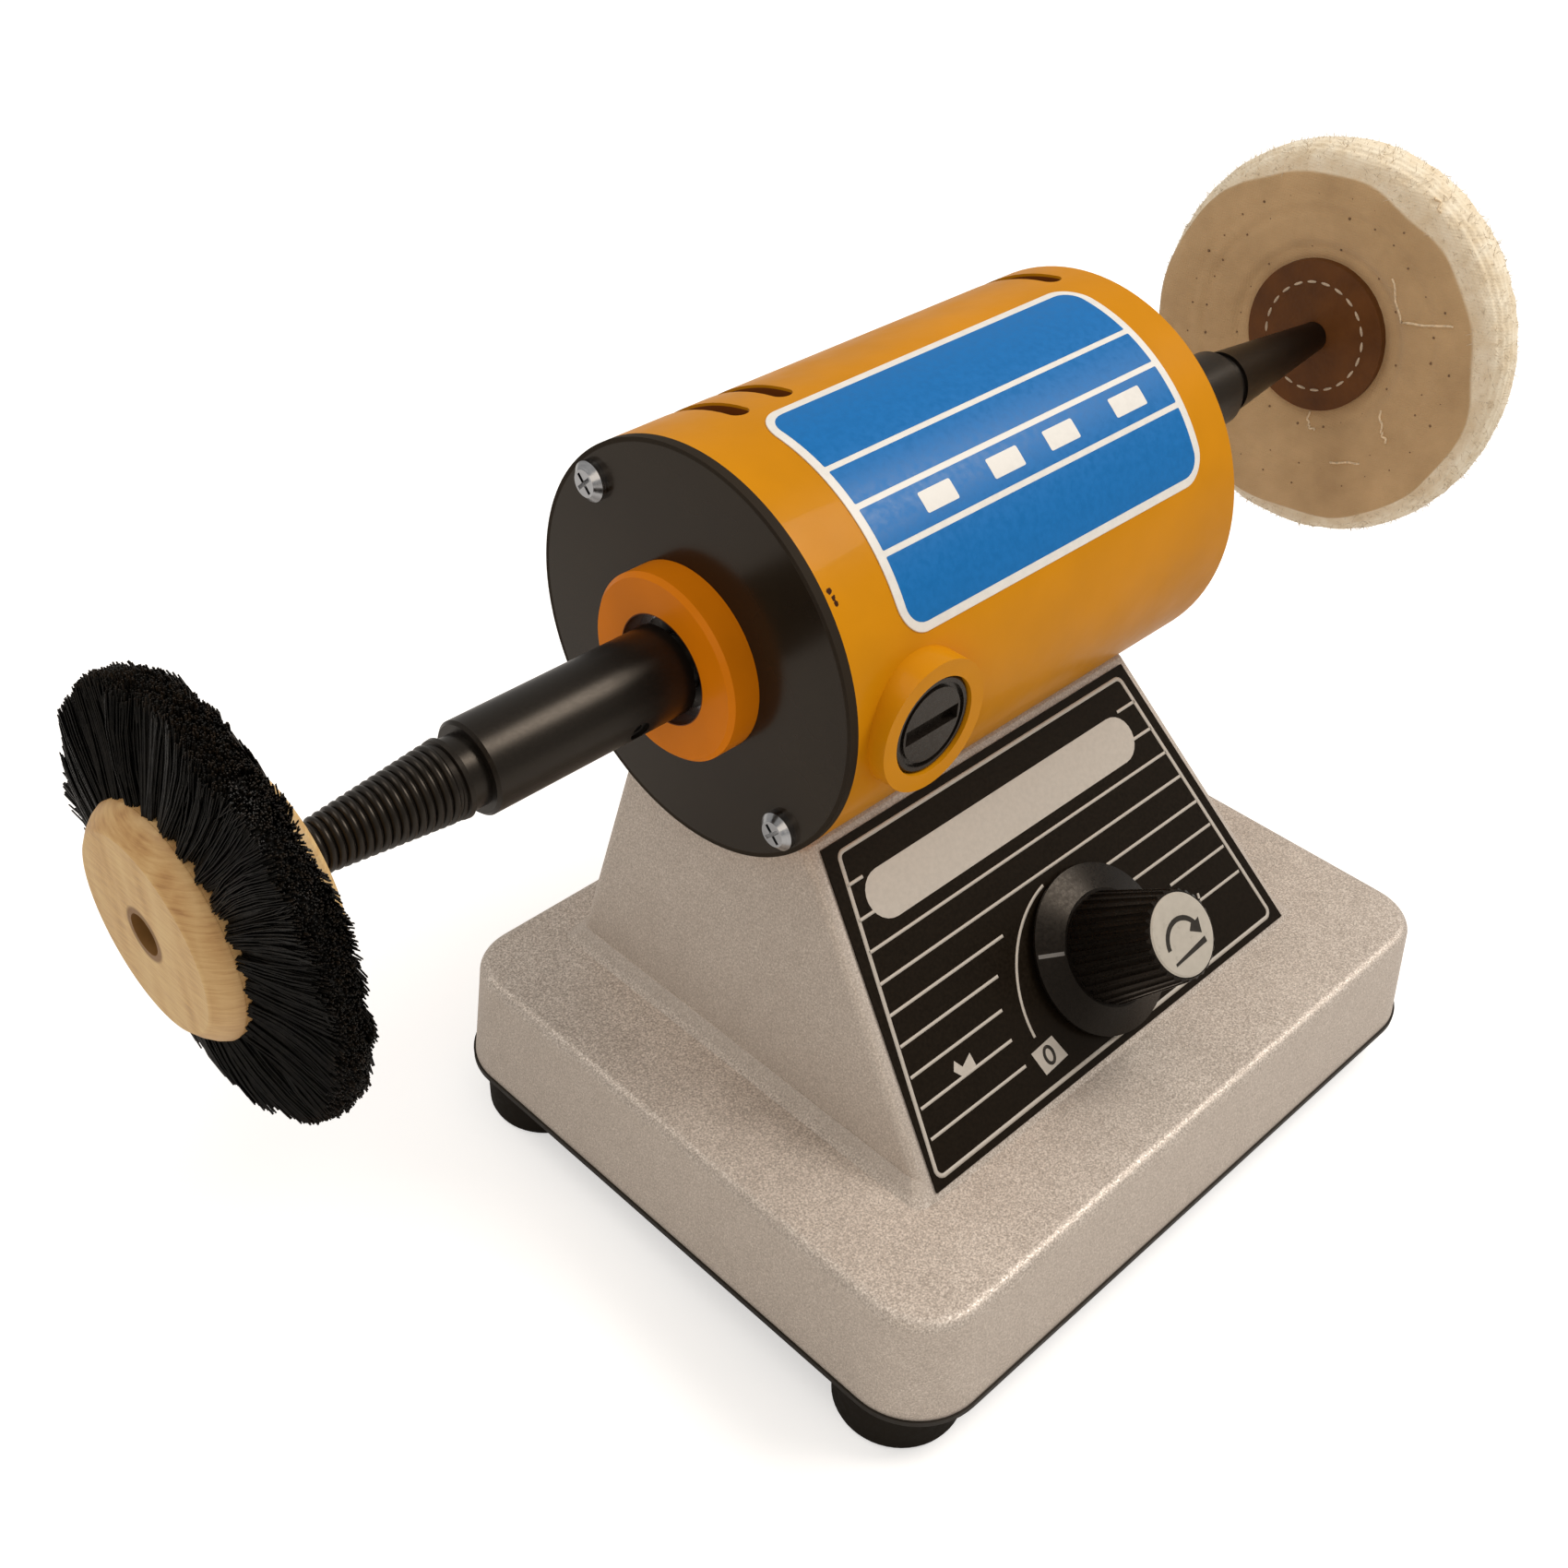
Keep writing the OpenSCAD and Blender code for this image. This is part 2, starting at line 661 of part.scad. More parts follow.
module bearing_balls() color("White") at_stand() both_ends()
  on_axis(-half - brg_face + brg_w / 2) for (i = [0:balls - 1]) rotate([0, 0, i * 360 / balls])
    translate([ball_pcr, 0, 0]) sphere(ball_r - 0.04, $fn = 24);

// shield in the outer face of each bearing
module bearing_shields() color([0.1, 0.1, 0.1]) at_stand() both_ends()
  axle_ring(-half - brg_face + 0.2, -half - brg_face + 0.8, brg_out_r - 0.02, brg_in_r + 0.1);

module bearing_inner_rings() color("Silver") at_stand() both_ends()
  difference() {
    axle_ring(-half - brg_face, -half - brg_face + brg_w, brg_in_r, brg_bore + 0.02);
    on_axis(-half - brg_face + brg_w / 2) rotate_extrude() translate([ball_pcr, 0])
      circle(ball_r + 0.04, $fn = 32);
  }

// brass sleeves in insulating bodies that guide the carbon brushes
module brush_holders() color("Goldenrod") at_stand() at_gear() difference() {
  translate([0, 0, comm_r + 3]) cylinder(h = cap_seat - comm_r - 3, r = holder_r);
  translate([-carbon_w / 2 - 0.1, -carbon_w / 2 - 0.1, 0])
    cube([carbon_w + 0.2, carbon_w + 0.2, drum_r + 5]);
}

module carbon_brushes() color([0.15, 0.15, 0.15]) at_stand() at_gear()
  translate([-carbon_w / 2, -carbon_w / 2, comm_r + 0.3])
    cube([carbon_w, carbon_w, carbon_len]);

// the springs behind the carbon brushes, as plain sleeves
module brush_springs() color("Silver") at_stand() at_gear() difference() {
  translate([0, 0, comm_r + 0.3 + carbon_len])
    cylinder(h = cap_seat - comm_r - 0.3 - carbon_len, r = 2.6);
  cylinder(h = drum_r + 5, r = 1.9);
}

// slotted screw caps over the brushes
module brush_caps() color([0.12, 0.12, 0.12]) at_stand() at_gear() difference() {
  union() {
    translate([0, 0, cap_seat]) cylinder(h = drum_r + cap_out - 0.8 - cap_seat, r = cap_r);
    translate([0, 0, drum_r + cap_out - 0.8]) cylinder(h = 0.6, r1 = cap_r, r2 = cap_r - 0.6);
  }
  translate([-7, -1.6, drum_r + cap_out - 2]) cube([14, 3.2, 4]);
  // ring groove around the slotted middle
  translate([0, 0, drum_r + cap_out - 0.9]) difference() {
    cylinder(h = 2, r = cap_r - 1.4);
    translate([0, 0, -1]) cylinder(h = 4, r = cap_r - 2.4);
  }
}

// ---------- rotor ----------

module motor_shaft() color("Silver") at_stand() union() {
  axle(-half - 24, half + 24, shaft_r);
  axle(-half - brg_face + brg_w, half + brg_face - brg_w, shaft_mid_r);
}

// slotted stack of the armature
module armature_core() color("SlateGray") at_stand() on_axis(arm_x - arm_len / 2) difference() {
  cylinder(h = arm_len, r = arm_r);
  translate([0, 0, -1]) cylinder(h = arm_len + 2, r = shaft_mid_r + fit_gap);
  for (i = [0:slots - 1]) rotate([0, 0, i * 360 / slots]) {
    translate([slot_at, 0, -1]) cylinder(h = arm_len + 2, r = slot_r, $fn = 24);
    translate([slot_at, -0.9, -1]) cube([10, 1.8, arm_len + 2]);
  }
}

// winding: bars in the slots joined by the end turns
module armature_winding() color("Chocolate") at_stand() on_axis(arm_x - arm_len / 2) {
  for (i = [0:slots - 1]) rotate([0, 0, i * 360 / slots])
    translate([slot_at, 0, -4]) cylinder(h = arm_len + 8, r = slot_r - 0.3, $fn = 24);
  for (z = [-7, arm_len + 0.2]) translate([0, 0, z]) rotate_extrude()
    polygon([[shaft_mid_r + 4, 0.5], [24, 0], [27, 2], [27, 4.8], [24, 6.8], [shaft_mid_r + 4, 6.3]]);
}

module commutator() color("Peru") at_stand() on_axis(comm_x - comm_len / 2) difference() {
  union() {
    cylinder(h = comm_len, r = comm_r);
    translate([0, 0, comm_len - 2]) cylinder(h = 2, r = comm_r + 1.6);
  }
  translate([0, 0, -1]) cylinder(h = comm_len + 2, r = shaft_mid_r + fit_gap);
  for (i = [0:slots - 1]) rotate([0, 0, (i + 0.5) * 360 / slots])
    translate([comm_r - 1.2, -0.3, -1]) cube([5, 0.6, comm_len + 2]);
}

// cooling fan beside the right bearing
module fan() color("Ivory") at_stand() on_axis(fan_x) difference() {
  union() {
    cylinder(h = 8, r = 9);
    cylinder(h = 1.6, r = 30);
    for (i = [0:8]) rotate([0, 0, i * 40]) translate([8, -0.8, 0]) cube([21, 1.6, 7]);
  }
  translate([0, 0, -1]) cylinder(h = 12, r = shaft_mid_r + fit_gap);
}

// ---------- spindles ----------

// left pigtail spindle: body over the shaft, shoulder, neck and taper
module pigtail() difference() {
  tip_r = taper_r - taper_len * taper_rate;
  x_sh = -half - shoulder;
  x_t = x_sh - neck_len;
  union() {
    axle(x_sh + 0.6, -half - brg_face - 0.5, body_r);
    axle_cone(x_sh, x_sh + 0.6, body_r - 0.6, body_r);
    axle(-half - brg_face - 1, -half - brg_face, brg_in_r - 0.6);
    axle(x_t, x_sh + 1, taper_r - 0.7);
    axle_cone(x_t - taper_len, x_t, tip_r, taper_r);
    axle_cone(x_t - taper_len - 0.8, x_t - taper_len, tip_r - 0.8, tip_r);
  }
  // bore for the motor shaft
  axle(-half - 25, -half, shaft_r + fit_gap);
  // tapped hole for the grub screw
  translate([-half - grub_x, axis_back, axis_z]) rotate([90 + grub_turn, 0, 0])
    cylinder(h = body_r + 2, r = grub_r + fit_gap);
}

module spindle_left() color([0.12, 0.12, 0.12]) at_stand() pigtail();

module spindle_right() color([0.12, 0.12, 0.12]) at_stand() mirror([1, 0, 0]) pigtail();

module grub_screws() color([0.1, 0.1, 0.1]) at_stand() both_ends()
  translate([-half - grub_x, axis_back, axis_z]) rotate([90 + grub_turn, 0, 0]) difference() {
    translate([0, 0, shaft_r]) cylinder(h = body_r - shaft_r - 0.9, r = grub_r);
    translate([0, 0, body_r - 3]) cylinder(h = 4, r = 1.2, $fn = 6);
  }

// ---------- wheel brush ----------

// the taper with a fitting gap, used to cut the bores of both wheels
module taper_cut() {
  x_t = -half - shoulder - neck_len;
  axle_cone(x_t - taper_len, x_t, taper_r - taper_len * taper_rate + fit_gap, taper_r + fit_gap);
}

module brush_hub() color("BurlyWood") at_stand() difference() {
  union() {
    axle_cone(-hub_face, -hub_face + hub_rim, hub_r - 0.8, hub_r);
    axle(-hub_face + hub_rim, -band_front, hub_r);
    axle(-band_front - 0.1, -band_back + 0.1, hub_r - band_skin - fit_gap);
    axle(-band_back, -hub_back - 1, hub_r - 0.4);
    axle_cone(-hub_back - 1, -hub_back, hub_r - 0.4, hub_r - 1.4);
  }
  taper_cut();
  axle(-hub_face - 1, -half - shoulder - neck_len - taper_len + 12, hub_bore_r);
}

// bristles: rows of three sided strands that lean together towards the rim, standing
// in the skin of the hub between them
module bristles() color([0.08, 0.08, 0.08]) at_stand() {
  base_r = hub_r - 0.6;
  band = band_front - band_back;
  axle_ring(-band_front + fit_gap, -band_back - fit_gap, hub_r - 0.1, hub_r - band_skin);
  on_axis(0) for (k = [0:rows - 1]) {
    x0 = -band_front + band * (k + 0.5) / rows;
    x1 = -rim_mid + rim_half * (2 * (k + 0.5) / rows - 1);
    for (i = [0:tufts - 1]) rotate([0, 0, (i + (k % 2) / 2) * 360 / tufts])
      strand(x0, x1, base_r, brush_r - 0.35 * ((i * 7 + k * 3) % 5));
  }
}

// one strand from the hub at axial place x0 to the rim at x1
module strand(x0, x1, ra, rb) {
  wa = 0.4;
  wb = 0.62;
  polyhedron(
    points = [[ra, -wa, x0 - wa], [ra, wa, x0 - wa], [ra, 0, x0 + wa],
      [rb, -wb, x1 - wb], [rb, wb, x1 - wb], [rb, 0, x1 + wb]],
    faces = [[0, 1, 2], [3, 5, 4], [0, 4, 1], [0, 3, 4], [1, 5, 2], [1, 4, 5],
      [2, 3, 0], [2, 5, 3]]);
}

// ---------- buff ----------

// the cotton buff: tight between the leathers, swelling to a rounded rim
module buff_cloth() color("Bisque") at_stand() difference() {
  on_axis(buff_x) rotate_extrude() {
    rim = buff_w / 2;
    union() {
      polygon([[0, -buff_mid], [leather_r + 1, -buff_mid], [leather_r + 6, -rim * 0.72],
        [buff_r - 12, -rim], [buff_r - rim, -rim], [buff_r - rim, rim], [buff_r - 12, rim],
        [leather_r + 6, rim * 0.72], [leather_r + 1, buff_mid], [0, buff_mid]]);
      translate([buff_r - rim, 0]) circle(rim, $fn = 48);
    }
  }
  mirror([1, 0, 0]) taper_cut();
}

module buff_leathers() color("SaddleBrown") at_stand() difference() {
  for (s = [-1, 1]) axle(buff_x + s * (buff_mid + leather_t / 2) - leather_t / 2,
    buff_x + s * (buff_mid + leather_t / 2) + leather_t / 2, leather_r);
  mirror([1, 0, 0]) taper_cut();
}

base_casting();
bottom_plate();
feet();
foot_screws();
cord_grommet();
board_spacers();
control_board();
board_parts();
board_screws();
panel_foil();
pot_body();
pot_nut();
pot_shaft();
knob();
knob_cap();
motor_drum();
end_bracket();
end_disc();
end_screws();
hold_screws();
drum_label();
magnets();
bearing_outer_rings();
bearing_balls();
bearing_shields();
bearing_inner_rings();
brush_holders();
carbon_brushes();
brush_springs();
brush_caps();
motor_shaft();
armature_core();
armature_winding();
commutator();
fan();
spindle_left();
spindle_right();
grub_screws();
brush_hub();
bristles();
buff_cloth();
buff_leathers();
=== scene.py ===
# %% [markdown]
# A compact polishing lathe, as found in a dental or jewellery workshop. A drum motor sits
# on a cast wedge stand with a speed knob on its sloping panel. A tapered spindle sticks out
# at each end: the left one carries a wheel brush, the right one a stitched cotton buff.
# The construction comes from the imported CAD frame. This lesson gives each of its pieces a
# finish and adds what a solid can't show: prints, screw thread, hair, cloth and stitches.

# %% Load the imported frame
import math
import random

import bmesh
import bpy
import numpy as np
from mathutils import Matrix, Vector


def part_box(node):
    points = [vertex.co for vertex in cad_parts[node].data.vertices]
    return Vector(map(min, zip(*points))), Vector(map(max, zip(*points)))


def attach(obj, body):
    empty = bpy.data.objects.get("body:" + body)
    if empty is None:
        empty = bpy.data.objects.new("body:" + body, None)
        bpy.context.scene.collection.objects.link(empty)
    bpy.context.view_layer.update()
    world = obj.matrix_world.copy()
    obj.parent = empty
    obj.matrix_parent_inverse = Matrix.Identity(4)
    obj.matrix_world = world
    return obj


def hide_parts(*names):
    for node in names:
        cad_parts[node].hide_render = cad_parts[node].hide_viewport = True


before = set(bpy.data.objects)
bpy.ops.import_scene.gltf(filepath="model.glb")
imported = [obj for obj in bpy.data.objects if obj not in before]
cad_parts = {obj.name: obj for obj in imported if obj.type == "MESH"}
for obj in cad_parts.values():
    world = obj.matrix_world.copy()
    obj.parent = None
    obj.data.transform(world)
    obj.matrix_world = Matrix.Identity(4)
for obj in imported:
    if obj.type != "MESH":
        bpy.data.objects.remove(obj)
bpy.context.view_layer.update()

# %% [markdown]
# Everything is placed from a few lines and planes of the real machine: the spindle axis,
# the drum's skin and the sloping panel. Where they lie is read from boxes of the CAD pieces.
# The panel's slope and the knob's place on it are the construction's own numbers.

# %% Spindle axis and drum
MM = 0.001
ring_low, ring_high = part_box("bearing_outer_rings")
AXIS = Vector((0, (ring_low.y + ring_high.y) / 2, (ring_low.z + ring_high.z) / 2))
disc_low, disc_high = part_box("end_disc")
DRUM_R = (disc_high.z - disc_low.z) / 2


def axle_point(x, radius, angle):
    """A point at x along the spindle; angle runs from the top towards the front."""
    return Vector((x, AXIS.y - radius * math.sin(angle), AXIS.z + radius * math.cos(angle)))


print("spindle axis at y %.4f z %.4f, drum radius %.4f" % (AXIS.y, AXIS.z, DRUM_R))

# %% Panel plane
SLOPE = math.radians(47.2)
FOIL_T = 0.6 * MM
foil_low, foil_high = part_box("panel_foil")
PANEL_TOP = Vector(((foil_low.x + foil_high.x) / 2,
                    foil_high.y - FOIL_T * math.sin(SLOPE), foil_high.z))
PANEL_UP = Vector((0, math.cos(SLOPE), math.sin(SLOPE)))
PANEL_OUT = Vector((0, -math.sin(SLOPE), math.cos(SLOPE)))
KNOB_AT = (4.5, -50.0)  # across the panel, and up its slope from its top edge, mm


def panel_matrix(across=0.0, up=0.0, out=0.0):
    """Matrix from a flat drawing in metres (x across, y up the slope, z outward) to the
    panel. The three shifts are in millimetres, from the middle of the panel's top edge."""
    place = PANEL_TOP + Vector((across * MM, 0, 0)) + PANEL_UP * up * MM + PANEL_OUT * out * MM
    turn = Matrix((Vector((1, 0, 0)), PANEL_UP, PANEL_OUT)).transposed()
    return Matrix.Translation(place) @ turn.to_4x4()


print("panel starts at", [round(v, 4) for v in PANEL_TOP], "slope", round(math.degrees(SLOPE), 1))

# %% [markdown]
# The camera stands to the left of the machine and above it, close enough that the near
# brush looks large and the far buff small. Its place, turn and lens were solved from
# measured corners of the photograph, so it isn't aimed by hand. The small shift moves the
# picture's middle, as cropping a photograph does.

# %% Camera
PICTURE = 1700  # pixels, each way
LENS_AIM = (833.63, 962.85)  # the pixel that the lens points at
camera_data = bpy.data.cameras.new("camera")
camera_data.sensor_width = 36
camera_data.lens = 41.962
camera_data.shift_x = (PICTURE / 2 - LENS_AIM[0]) / PICTURE
camera_data.shift_y = (LENS_AIM[1] - PICTURE / 2) / PICTURE
camera = bpy.data.objects.new("camera", camera_data)
bpy.context.scene.collection.objects.link(camera)
camera.location = (-0.2491056, -0.1836631, 0.3233222)
camera.rotation_euler = [math.radians(a) for a in (48.49166, -1.862627, -44.378103)]
bpy.context.scene.camera = camera
print("camera at", [round(v, 3) for v in camera.location], "lens", camera_data.lens)

# %% [markdown]
# The floor is a flat, pale, dull sheet, wide enough that its edge is far away. A sheet that
# only glows would lose the machine's shadow, so it is a bright diffuse surface, and to the
# camera alone it glows a little as well. The sky is a warm white where the camera looks at
# it, and dimmer where it lights the machine or shows in it.

# %% Floor and world
bpy.context.scene.view_settings.view_transform = "Standard"


def link_object(name, mesh):
    obj = bpy.data.objects.new(name, mesh)
    bpy.context.scene.collection.objects.link(obj)
    return obj


floor_half, glow_strength = 4.0, 0.5
floor_mesh = bpy.data.meshes.new("floor")
floor_mesh.from_pydata([(x * floor_half, y * floor_half, 0)
                        for x, y in ((-1, -1), (1, -1), (1, 1), (-1, 1))], [], [(0, 1, 2, 3)])
floor = link_object("floor", floor_mesh)
floor_mat = bpy.data.materials.new("floor_pale")
floor_mat.use_nodes = True
floor_nodes, floor_links = floor_mat.node_tree.nodes, floor_mat.node_tree.links
floor_bsdf = floor_nodes["Principled BSDF"]
floor_bsdf.inputs["Base Color"].default_value = (0.82, 0.81, 0.80, 1)
floor_bsdf.inputs["Roughness"].default_value = 0.9
floor_bsdf.inputs["Specular IOR Level"].default_value = 0.1
rays = floor_nodes.new("ShaderNodeLightPath")
glow = floor_nodes.new("ShaderNodeMath")
glow.operation = "MULTIPLY"
glow.inputs[1].default_value = glow_strength
floor_bsdf.inputs["Emission Color"].default_value = (1, 1, 1, 1)
floor_links.new(rays.outputs["Is Camera Ray"], glow.inputs[0])
floor_links.new(glow.outputs[0], floor_bsdf.inputs["Emission Strength"])
floor_mesh.materials.append(floor_mat)

world = bpy.data.worlds.new("studio")
bpy.context.scene.world = world
world.use_nodes = True
world_nodes, world_links = world.node_tree.nodes, world.node_tree.links
background = world_nodes["Background"]
paths = world_nodes.new("ShaderNodeLightPath")
seen = world_nodes.new("ShaderNodeMath")
seen.operation = "MAXIMUM"
world_links.new(paths.outputs["Is Camera Ray"], seen.inputs[0])
world_links.new(paths.outputs["Is Transmission Ray"], seen.inputs[1])
lighting, in_view = 0.46, 1.0  # the sky's strength as a light, and as the camera sees it
strength = world_nodes.new("ShaderNodeMapRange")
strength.inputs["To Min"].default_value = lighting
strength.inputs["To Max"].default_value = in_view
world_links.new(seen.outputs[0], strength.inputs["Value"])
world_links.new(strength.outputs[0], background.inputs["Strength"])
background.inputs["Color"].default_value = (1.0, 0.97, 0.93, 1)
print("floor", floor_half * 2, "m wide, world strength", lighting)

# %% Lamps
def soft_lamp(name, place, target, size, watts, color):
    """A rectangular lamp at a place, turned to shine at a target."""
    data = bpy.data.lights.new(name, "AREA")
    data.shape = "RECTANGLE"
    data.size, data.size_y = size
    data.energy = watts
    data.color = color
    lamp = bpy.data.objects.new(name, data)
    bpy.context.scene.collection.objects.link(lamp)
    lamp.location = place
    aim = Vector(target) - Vector(place)
    lamp.rotation_euler = aim.to_track_quat("-Z", "Y").to_euler()


WARM = (1.0, 0.95, 0.89)
soft_lamp("key", (0.7, -0.45, 1.2), (0, 0, 0.1), (0.6, 0.6), 11.0, WARM)
soft_lamp("fill", (-1.1, -0.5, 0.8), (0, 0, 0.08), (0.9, 0.9), 2.4, (1.0, 0.86, 0.7))
soft_lamp("back", (-0.35, 0.6, 1.2), (0, 0, 0.1), (0.7, 0.5), 3.0, WARM)

# %% [markdown]
# Finishes. Each one is a Principled shader whose colour, roughness and small relief come
# from noise on Object coordinates, in metres, so a grain of half a millimetre needs a
# noise scale of about 2000. Values that are the same all over a surface are set on the
# shader's own sockets. The helpers below each add a node or a few and wire them up.

# %% Shader helpers
class Finish:
    """A material under construction: nodes are added one by one and joined to the shader."""

    def __init__(self, name, color, rough, **sockets):
        self.mat = bpy.data.materials.new(name)
        self.mat.use_nodes = True
        self.nodes, self.links = self.mat.node_tree.nodes, self.mat.node_tree.links
        self.shader = self.nodes["Principled BSDF"]
        self.shader.inputs["Base Color"].default_value = (*color, 1)
        self.shader.inputs["Roughness"].default_value = rough
        for key, value in sockets.items():
            self.shader.inputs[key.replace("_", " ")].default_value = value
        self.coords = self.nodes.new("ShaderNodeTexCoord").outputs["Object"]
        self.bumped = None

    def place(self, scale=(1, 1, 1), turn=(0, 0, 0), centre=(0, 0, 0)):
        """Object coordinates moved so that centre is zero, then stretched and turned."""
        shift = self.nodes.new("ShaderNodeVectorMath")
        shift.operation = "SUBTRACT"
        shift.inputs[1].default_value = centre
        self.links.new(self.coords, shift.inputs[0])
        node = self.nodes.new("ShaderNodeMapping")
        node.inputs["Scale"].default_value = scale
        node.inputs["Rotation"].default_value = turn
        self.links.new(shift.outputs[0], node.inputs["Vector"])
        return node.outputs["Vector"]

    def noise(self, scale, detail=2.0, rough=0.5, vector=None):
        node = self.nodes.new("ShaderNodeTexNoise")
        node.inputs["Scale"].default_value = scale
        node.inputs["Detail"].default_value = detail
        node.inputs["Roughness"].default_value = rough
        self.links.new(vector or self.coords, node.inputs["Vector"])
        return node.outputs["Fac"]

    def axes(self, vector=None):
        """The three parts of a vector; of the object coordinates unless one is given."""
        node = self.nodes.new("ShaderNodeSeparateXYZ")
        self.links.new(vector or self.coords, node.inputs[0])
        return node.outputs

    def radius(self):
        """Distance from the spindle axis."""
        spot = self.axes(self.place(centre=tuple(AXIS)))
        squares = [self.math("MULTIPLY", spot[k], spot[k]) for k in (1, 2)]
        return self.math("SQRT", self.math("ADD", *squares))

    def distance(self, centre):
        """Distance from a point."""
        node = self.nodes.new("ShaderNodeVectorMath")
        node.operation = "LENGTH"
        self.links.new(self.place(centre=tuple(centre)), node.inputs[0])
        return node.outputs["Value"]

    def cells(self, scale, vector=None):
        """Distance to the nearest of many scattered points."""
        node = self.nodes.new("ShaderNodeTexVoronoi")
        node.inputs["Scale"].default_value = scale
        self.links.new(vector or self.coords, node.inputs["Vector"])
        return node.outputs["Distance"]

    def waves(self, scale, distortion, direction, vector=None, kind="BANDS"):
        node = self.nodes.new("ShaderNodeTexWave")
        node.wave_type = kind
        setattr(node, "bands_direction" if kind == "BANDS" else "rings_direction", direction)
        node.inputs["Scale"].default_value = scale
        node.inputs["Distortion"].default_value = distortion
        self.links.new(vector or self.coords, node.inputs["Vector"])
        return node.outputs["Fac"]

    def math(self, operation, a, b=0.0):
        node = self.nodes.new("ShaderNodeMath")
        node.operation = operation
        for socket, value in zip(node.inputs, (a, b)):
            if isinstance(value, (int, float)):
                socket.default_value = value
            else:
                self.links.new(value, socket)
        return node.outputs[0]

    def spread(self, value, low, high, to_low=0.0, to_high=1.0):
        """Stretches the part of value between low and high to a new range."""
        node = self.nodes.new("ShaderNodeMapRange")
        for key, number in (("From Min", low), ("From Max", high),
                            ("To Min", to_low), ("To Max", to_high)):
            node.inputs[key].default_value = number
        self.links.new(value, node.inputs["Value"])
        return node.outputs["Result"]

    def tint(self, value, stops):
        """Colours along a ramp: stops are (position, (r, g, b))."""
        node = self.nodes.new("ShaderNodeValToRGB")
        ramp = node.color_ramp
        while len(ramp.elements) < len(stops):
            ramp.elements.new(0.5)
        for element, (position, color) in zip(ramp.elements, stops):
            element.position = position
            element.color = (*color, 1)
        self.links.new(value, node.inputs["Fac"])
        return node.outputs["Color"]

    def mix(self, factor, a, b):
        """Colour a where factor is 0 and b where it is 1."""
        node = self.nodes.new("ShaderNodeMix")
        node.data_type = "RGBA"
        self.links.new(factor, node.inputs["Factor"])
        for key, value in (("A", a), ("B", b)):
            socket = [s for s in node.inputs if s.name == key and s.type == "RGBA"][0]
            if isinstance(value, tuple):
                socket.default_value = (*value, 1)
            else:
                self.links.new(value, socket)
        return [s for s in node.outputs if s.type == "RGBA"][0]

    def to(self, key, value):
        self.links.new(value, self.shader.inputs[key])

    def bump(self, height, distance, strength):
        """Adds relief; a second call lays its relief over the first."""
        node = self.nodes.new("ShaderNodeBump")
        node.inputs["Strength"].default_value = strength
        node.inputs["Distance"].default_value = distance
        self.links.new(height, node.inputs["Height"])
        if self.bumped:
            self.links.new(self.bumped, node.inputs["Normal"])
        self.bumped = node.outputs["Normal"]
        self.to("Normal", self.bumped)


def dress(material, *nodes):
    """Gives CAD nodes a finish by filling their material slots."""
    for name in nodes:
        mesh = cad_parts[name].data
        if not mesh.materials:
            mesh.materials.append(material)
        for i in range(len(mesh.materials)):
            mesh.materials[i] = material
    print("dressed", material.name, "->", ", ".join(nodes))


# %% [markdown]
# The stand is an iron casting sprayed with silver hammer paint: tiny bright and dark
# flakes, less than a millimetre apart, on a warm grey ground, with a fine grain to the
# touch. Two noises of different size are added. Their sum picks the shade and the relief.

# %% Silver hammer paint
DECK_Z = 38.7 * MM  # the paint lay on thick on the deck and thin on the walls


def cast_paint():
    f = Finish("cast_paint", (0.42, 0.37, 0.31), 0.5, Metallic=0.5, Specular_IOR_Level=0.3)
    fine = f.noise(2600, 3, 0.7)
    wide = f.noise(170, 2, 0.5)
    grain = f.math("ADD", f.math("MULTIPLY", fine, 0.92), f.math("MULTIPLY", wide, 0.08))
    from_deck = f.math("ABSOLUTE", f.math("SUBTRACT", f.axes()[2], DECK_Z))
    coarse = f.spread(from_deck, 0.2 * MM, 2.5 * MM, 1.0, 0.5)
    grain = f.math("ADD", f.math("MULTIPLY", f.math("SUBTRACT", grain, 0.5), coarse), 0.5)
    f.to("Base Color", f.tint(grain, [(0.34, (0.35, 0.30, 0.255)), (0.5, (0.58, 0.505, 0.44)),
                                      (0.64, (0.86, 0.78, 0.70))]))
    f.to("Roughness", f.spread(fine, 0.35, 0.65, 0.66, 0.44))
    f.bump(grain, 0.00010, 0.22)
    return f.mat


dress(cast_paint(), "base_casting")
